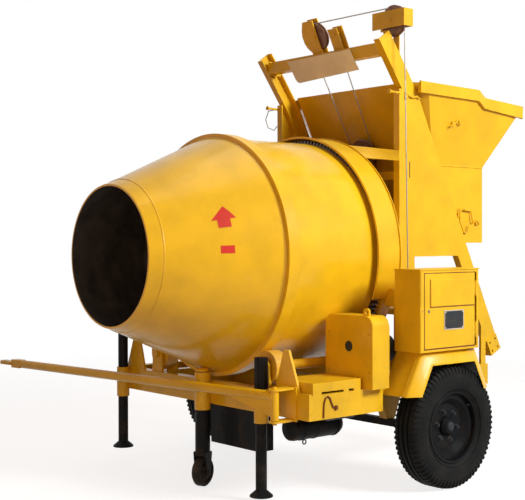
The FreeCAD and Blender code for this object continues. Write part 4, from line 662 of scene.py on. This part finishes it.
def door():
    """Leaf with panel and hinges, which stands for the CAD door, the gap round it with its painted shade and
    what it carries, with strips of painted shade along the panel's edges.
    """
    leaf = Build()
    low, high = box_of("control_door")
    leaf.box(-171, DOOR_EDGE_X, low[1], DOOR_Y + 1.5, low[2], high[2])
    pressed_panel(leaf, DOOR_Y, 1145.7, 3)
    for z in HINGE_ZS:
        leaf.bar(W(HINGE_X, DOOR_Y, z), W(HINGE_X, DOOR_Y, z + HINGE_L), 7)
        leaf.box(HINGE_X, HINGE_X + 16, DOOR_Y - 5, DOOR_Y, z, z + HINGE_L)
    obj = leaf.make("door_skin", yellow_parts, "cabinet_door", 3.5)
    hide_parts("control_door")
    # Seal strips round the doorway, in the dark brown of painted shade for the door's gap
    seal_shade = Build()
    for x0, z0, z1 in ((DOOR_EDGE_X, 860, 1312), (-176, 858, 864), (-176, 1309, 1313)):
        seal_shade.box(x0, DOOR_EDGE_X + 6, DOOR_Y - 5, DOOR_Y + 0.6, z0, z1)
    seal_shade.make("door_seal_painted_shade", shade_and_pipe_brown, "chassis")
    # Painted shade: flat dark strips along the panel's right and lower edges
    panel_shade = Build()
    right, foot = PANEL_X[1] + PANEL_SHADE_W, PANEL_Z[0] - PANEL_SHADE_W
    panel_shade.box(PANEL_X[1], right, DOOR_Y + 1, DOOR_Y + 2, foot + 1, PANEL_Z[1])
    panel_shade.box(PANEL_X[0], right, DOOR_Y + 1, DOOR_Y + 2, foot, PANEL_Z[0])
    panel_shade.make("panel_edge_painted_shade", shade_and_pipe_brown, "cabinet_door")
    (x0, x1), (z0, z1) = PLATE_X, PLATE_Z
    label = Build()
    label.box(x0, x1, DOOR_Y, DOOR_Y + 3, z0, z1)
    label.make("door_label", dark, "cabinet_door")
    rim = Build()
    back, front = DOOR_Y + 2, DOOR_Y + 4
    for z in (z0, z1 - PLATE_RIM):
        rim.box(x0, x1, back, front, z, z + PLATE_RIM)
    for x in (x0, x1 - PLATE_RIM):
        rim.box(x, x + PLATE_RIM, back, front, z0 + PLATE_RIM, z1 - PLATE_RIM)
    for x in (x0 + 2 * PLATE_RIM, x1 - 2 * PLATE_RIM):
        for z in (z0 + 2 * PLATE_RIM, z1 - 2 * PLATE_RIM):
            rim.bar(W(x, back, z), W(x, front + 1, z), 5, 10)
    rim.make("door_label_rim", plate_grey, "cabinet_door")
    lock = Build()
    lock.bar(W(LOCK_X, DOOR_Y - 1, LOCK_Z), W(LOCK_X, front, LOCK_Z), 9)
    lock.box(LOCK_X - 4, LOCK_X + 4, front, front + 1, LOCK_Z - 8, LOCK_Z + 8)
    lock.make("door_lock", bolt_steel, "cabinet_door")


def cabinet():
    """Bead on the cabinet's corner with the latch, and its screw."""
    low, high = box_of("control_box")
    corner = Build()
    corner.bar(W(high[0] - 12, DOOR_Y - 1, low[2] + 7), W(high[0] - 12, DOOR_Y - 1, high[2] - 13), 6)
    corner.box(high[0] - 28, high[0], DOOR_Y - 9, DOOR_Y + 6, LATCH_Z0, LATCH_Z1)
    corner.make("door_latch", yellow_parts, "chassis", 1.5)
    screw = Build()
    screw.bolt(W(high[0] - 16, DOOR_Y + 3.5, (LATCH_Z0 + LATCH_Z1) / 2), (0, 1, 0), 4, 1, False)
    screw.make("cabinet_bolts", bolt_steel, "chassis")


# ---------------------------------------------------------------- mudguards
GUARD_LOW, GUARD_TOP = (corner[2] for corner in box_of("fenders"))
GUARD_SLOPES = ((-345, -214, 1), (401, 268, -1))    # x of foot and of top edge; side of the inside
GUARD_ARMS = (-341.4, 382.8)            # rear faces of the carrying arms
GUARD_ARM_T, GUARD_ARM_H = 14.0, 42.0
GUARD_ARM_Y = 912.0                     # their outer ends
GUARD_LINE_Y = 1075.0                   # bead along the outside
# (y, depth under the outer line): inner skirt, top, rolled outer edge and back along the inside
GUARD_SECTION = [(908, 33), (908, 0), (1088, 0), (1098, 3), (1106, 9), (1140, 64), (1145, 74), (1145.5, 80),
                 (1140, 80), (1134, 68), (1101, 14), (1094, 8), (1086, 5), (913, 5), (913, 33)]


def guard_line(depth):
    """Side view of a mudguard from the rear foot to the front one, moved inwards by depth."""
    rise = GUARD_TOP - GUARD_LOW
    ends = []
    for low_x, top_x, sign in GUARD_SLOPES:
        run = abs(low_x - top_x)
        foot_x = low_x + sign * depth / math.cos(math.atan2(run, rise))
        ends.append([(foot_x, GUARD_LOW), (foot_x + sign * run * (rise - depth) / rise, GUARD_TOP - depth)])
    return ends[0] + ends[1][::-1]


def mudguards():
    """Both guards with rolled outer edge, inner skirt and carrying arms, which stand for the CAD guards."""
    count = len(GUARD_SECTION)
    made = Build()
    for side in (LEFT, RIGHT):
        verts = []
        for k in range(4):
            for y, depth in GUARD_SECTION:
                x, z = guard_line(depth)[k]
                verts.append(W(x, side * y, z))
        faces = skin(3, count) + [tuple(range(count))[::-1], tuple(range(3 * count, 4 * count))]
        made.add(verts, faces if side < 0 else [f[::-1] for f in faces], True)
        for x in GUARD_ARMS:
            made.box(x, x + GUARD_ARM_T, side * POST_Y, side * GUARD_ARM_Y,
                     GUARD_LOW, GUARD_LOW + GUARD_ARM_H)
        made.tube([W(x, side * GUARD_LINE_Y, z) for x, z in guard_line(-1.0)], 3, 8)
    obj = made.make("mudguards", mudguard_enamel_and_shade, "chassis")
    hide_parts("fenders")


# ---------------------------------------------------------------- drive cover and tower
HOLE_Y, HOLE_Z, HOLE_R = 826.0, 883.0, 31.5


def drive_details():
    """Dark disc of painted shade inside the inspection hole, seams and bolts of the drive cover, bolts of the
    platform.
    """
    low, high = box_of("drive_cover")
    # Painted shade: a dark disc deep in the hole
    hole = Build()
    hole.bar(W(high[0] - 10, HOLE_Y, HOLE_Z), W(high[0] - 3, HOLE_Y, HOLE_Z), HOLE_R, 32)
    hole.make("cover_hole_painted_shade", dark, "chassis")
    seam = Build()
    for x in (low[0], high[0]):
        seam.tube([W(x - 1, high[1] - 2, z) for z in (716, 1004)], 3, 8)
    for z in (740, 960):
        for y in (660, 990):
            seam.bolt(W(high[0], y, z), (1, 0, 0), 7, 6)
    for y in (700, 920):
        seam.bolt(W(box_of("drive_tray")[1][0], y, 560), (1, 0, 0), 8, 7)
    seam.make("cover_fixings", yellow_parts, "chassis")


def tower_details():
    """Dark strip of painted shade for the slot in the near post, pins and hook lugs near the top of both, and
    a bent wire.
    """
    # Painted shade: a flat dark strip on the post's face where the slot is
    slot = Build()
    slot.box(-180, -174, POST_Y - 1, POST_Y + 1.2, 1910, 2014)
    slot.make("post_slot_painted_shade", dark, "chassis")
    lugs = Build()
    for side in (LEFT, RIGHT):
        y = side * POST_Y
        proud = y + side * 14
        lugs.bar(W(-82, y, 2451), W(19, y, 2455), 8)
        lugs.bar(W(8, y, 2454), W(18, y, 2455), 15)
        lugs.box(-150, -130, y, proud, 2418, 2462)
        lugs.tube([W(-140, y + side * 12, 2446), W(-190, proud, 2430), W(-240, proud, 2436),
                   W(-262, proud, 2426)], 6, 10)
    lugs.make("tower_lugs", yellow_parts, "chassis", 1.0)
    wire = Build()
    wire.tube([W(-64, -604, 2450), W(-30, -640, 2440), W(-20, -660, 2380), W(-34, -650, 2320),
               W(-60, -612, 2300), W(-78, -604, 2330)], 4, 8)
    wire.make("hook_wire", rope_steel, "chassis")


# ---------------------------------------------------------------- skip
SKIP_RIM = ((-228, 2538), (-827, 2528), (-902, 2482), (-1332, 2445))    # (x, z) of the rim, front to rear
SKIP_BAND = 76.0                    # height of the band under the rim


def flare(z):
    """Half width of the skip over the flare's lower edge."""
    return SKIP_Y + (z - FLARE_Z) * FLARE


def skip_band():
    """Band round the skip's rim and weld bead at the flare's lower edge."""
    band = Build()
    for side in (LEFT, RIGHT):
        verts = []
        for x, z in SKIP_RIM:
            low = z - SKIP_BAND
            verts += [W(x, side * y, up) for y, up in ((flare(z) - 4, z + 0.5), (flare(z) + 5, z + 0.5),
                                                       (flare(z) + 5, low), (flare(low) - 3, low))]
        faces = [(0, 1, 2, 3), (12, 15, 14, 13)] + skin(3, 4)
        band.add(verts, faces if side < 0 else [f[::-1] for f in faces])
        band.box(-1002, -232, side * SKIP_Y, side * (SKIP_Y + 5), 2003, 2015)
    band.make("skip_rim_band", yellow_parts, "skip", 2.0)


def skip_levers():
    """Gate levers on the skip's upright walls and a bent handle on each flared one."""
    lever = Build()
    for side in (LEFT, RIGHT):
        y, out = side * SKIP_Y, side * (SKIP_Y + 18)
        lever.box(-760, -728, y, side * 546, 1618, 1692)
        lever.box(-950, -918, y, side * 545, 1610, 1642)
        lever.tube([W(x, out, z) for x, z in ((-744, 1722), (-744, 1625), (-786, 1556), (-822, 1556),
                                              (-836, 1604))], 5, 10)
        lever.tube([W(x, out, z) for x, z in ((-784, 1712), (-876, 1704))], 6, 10)
        lever.tube([W(x, out, z) for x, z in ((-862, 1700), (-880, 1622), (-925, 1640), (-950, 1612))], 5, 10)
        z = 2285
        wall = flare(z)
        lever.box(-620, -596, side * (wall - 6), side * (wall + 14), z - 14, z + 16)
        handle = ((-572, 14, -22), (-610, 16, 0), (-650, 20, 30), (-664, 18, 2), (-690, 18, 8))
        lever.tube([W(x, side * (wall + proud), z + up) for x, proud, up in handle], 6, 10)
    lever.make("skip_levers", yellow_parts, "skip")


# ---------------------------------------------------------------- under the platform
PUMP_Y, PUMP_Z = 720.0, 420.0       # axis of the pump, along x
PUMP_R = 70.0
LEG_HEAD_W, LEG_HEAD_H = 56.0, 206.0


def pump_shroud():
    """Rounded barrel over the pump with three bands and a drain eye under it."""
    shroud = Build()
    barrel = [(0, 0), (4, 34), (16, 54), (38, 66), (64, PUMP_R),
              (372, PUMP_R), (392, 66), (404, 52), (408, 0)]
    shroud.spin(barrel, W(580, PUMP_Y, PUMP_Z), (1, 0, 0), 40, closed=False)
    hoop = [(-5, PUMP_R - 1), (-5, PUMP_R + 3), (5, PUMP_R + 3), (5, PUMP_R - 1)]
    for x in (640, 800, 900):
        shroud.spin(hoop, W(x, PUMP_Y, PUMP_Z), (1, 0, 0), 40)
    shroud.tube([W(857 + along, PUMP_Y, 334 + up) for along, up in circle(13)], 4, 8)
    shroud.make("pump_shroud", black, "chassis")


def frame_pipe():
    """Thin bent pipe on the outer face of the platform, with its block."""
    route = ((934, 510), (932, 566), (928, 600), (916, 622), (900, 629), (884, 618), (872, 590), (860, 566),
             (842, 560))
    pipe = Build()
    pipe.tube([W(x, PLATFORM_Y + 4, z) for x, z in route], 5, 10)
    pipe.box(828, 846, PLATFORM_Y, PLATFORM_Y + 10, 548, 572)
    pipe.make("frame_pipe", shade_and_pipe_brown, "chassis")


def leg_head():
    """Square head of the near leg's jack."""
    x, y = middle_of("leg_left")[:2]
    half, top = LEG_HEAD_W / 2, box_of("leg_left")[1][2] + 3
    head = Build()
    head.box(x - half, x + half, y - half, y + half, top - LEG_HEAD_H, top)
    head.make("leg_head", black, "support_leg_left")


def jockey_cap():
    """Domed cap on the jockey column."""
    x, y = middle_of("jockey_column")[:2]
    top = box_of("jockey_column")[1][2]
    cap = Build()
    cap.spin([(-8, 41), (2, 41), (9, 34), (13, 20), (14, 0)], W(x, y, top), (0, 0, 1), closed=False)
    cap.make("jockey_cap", yellow_parts, "jockey_swivel")


drum_details()
cone_mark()
for side in (LEFT, RIGHT):
    tread(side)
    wheel_studs(side)
sign()
ropes()
rope_fittings()
door()
cabinet()
mudguards()
drive_details()
tower_details()
skip_band()
skip_levers()
pump_shroud()
frame_pipe()
leg_head()
jockey_cap()


# ---------------------------------------------------------------- stage, light, camera
FLOOR_HALF = 30.0                   # metres
FLOOR_FADE = (3.0, 7.0)             # metres from the middle between which the floor fades into the background
FLOOR_GLOW = 0.78
SKY_LOW, SKY_HIGH = (0.86, 0.36, 0.19), (1.0, 0.70, 0.50)
SKY_STRENGTH = 0.25
EYE = (5147.2, 5453.4, 1523.3)
YAW, PITCH, ROLL = (math.radians(v) for v in (-130.3, -0.7, -0.1))
SENSOR, LENS = 36.0, 75.4217        # millimetres
LENS_SHIFT = (-0.0100952, 0.0017143)


def seen(tree):
    """1 where a ray comes from the camera, from a gloss or through glass."""
    path = tree.nodes.new("ShaderNodeLightPath")
    gloss = calc(tree, "MAXIMUM", path.outputs["Is Camera Ray"], path.outputs["Is Glossy Ray"])
    return calc(tree, "MAXIMUM", gloss, path.outputs["Is Transmission Ray"])


def blend_shaders(tree, share, a, b):
    made = tree.nodes.new("ShaderNodeMixShader")
    for socket, value in zip(made.inputs, (share, a, b)):
        tree.links.new(value, socket)
    return made.outputs[0]


def stage():
    """Pale floor that keeps the shadow and fades out far from the object."""
    s = FLOOR_HALF
    made = Build()
    made.add([(-s, -s, 0), (s, -s, 0), (s, s, 0), (-s, s, 0)], [(0, 1, 2, 3)])
    material, tree, shader = new_material("studio_floor")
    coords = place(tree)
    tree.links.new(mix(tree, noise(tree, coords, 3.0), (0.29, 0.285, 0.28), (0.32, 0.315, 0.31)),
                   shader.inputs["Base Color"])
    shader.inputs["Roughness"].default_value = 0.8
    shader.inputs["Emission Color"].default_value = (1, 1, 1, 1)
    tree.links.new(calc(tree, "MULTIPLY", seen(tree), FLOOR_GLOW), shader.inputs["Emission Strength"])
    far = ramp(tree, vector_calc(tree, "LENGTH", coords), *FLOOR_FADE)
    clear = tree.nodes.new("ShaderNodeBsdfTransparent")
    tree.links.new(blend_shaders(tree, far, shader.outputs[0], clear.outputs[0]),
                   tree.nodes["Material Output"].inputs["Surface"])
    floor = made.make("studio_floor", material, None)


def world():
    """Soft warm sky that lights the object, and white wherever it is seen."""
    made = bpy.data.worlds.new("studio")
    bpy.context.scene.world = made
    made.use_nodes = True
    tree = made.node_tree
    tree.nodes.clear()
    out = tree.nodes.new("ShaderNodeOutputWorld")
    soft = node(tree, "ShaderNodeBackground", Strength=SKY_STRENGTH)
    white = node(tree, "ShaderNodeBackground", Strength=1.0, Color=(1, 1, 1, 1))
    up = height_of(tree, place(tree, "Generated"))
    tree.links.new(mix(tree, ramp(tree, up, -0.1, 0.7), SKY_LOW, SKY_HIGH), soft.inputs["Color"])
    tree.links.new(blend_shaders(tree, seen(tree), soft.outputs[0], white.outputs[0]), out.inputs[0])


def area_light(name, at, target, size, power, colour=(1.0, 1.0, 1.0)):
    data = bpy.data.lights.new(name, "AREA")
    data.color = colour
    data.shape = "SQUARE"
    data.size = size
    data.energy = power
    obj = bpy.data.objects.new(name, data)
    bpy.context.scene.collection.objects.link(obj)
    obj.location = at
    obj.visible_camera = False
    obj.rotation_mode = "QUATERNION"
    obj.rotation_quaternion = (target - at).to_track_quat("-Z", "Y")


def camera():
    data = bpy.data.cameras.new("camera")
    data.sensor_width = SENSOR
    data.lens = LENS
    data.shift_x, data.shift_y = LENS_SHIFT
    obj = bpy.data.objects.new("camera", data)
    bpy.context.scene.collection.objects.link(obj)
    ahead = Vector((math.cos(YAW) * math.cos(PITCH), math.sin(YAW) * math.cos(PITCH), math.sin(PITCH)))
    level = ahead.cross(Vector((0, 0, 1))).normalized()
    upright = level.cross(ahead)
    right = level * math.cos(ROLL) + upright * math.sin(ROLL)
    up = upright * math.cos(ROLL) - level * math.sin(ROLL)
    obj.matrix_world = Matrix.Translation(W(*EYE)) @ Matrix((right, up, -ahead)).transposed().to_4x4()
    bpy.context.scene.camera = obj


stage()
world()
MACHINE = W(300, 0, 1300)
area_light("key", W(-1600, 6500, 4700), MACHINE, 2.2, 600)
area_light("fill_front", W(4600, 2700, 1300), W(300, 900, 1000), 2.0, 50, (1.0, 0.66, 0.42))
area_light("top", W(-600, 600, 6500), MACHINE, 4.0, 70)
camera()
bpy.context.scene.view_settings.view_transform = "Standard"
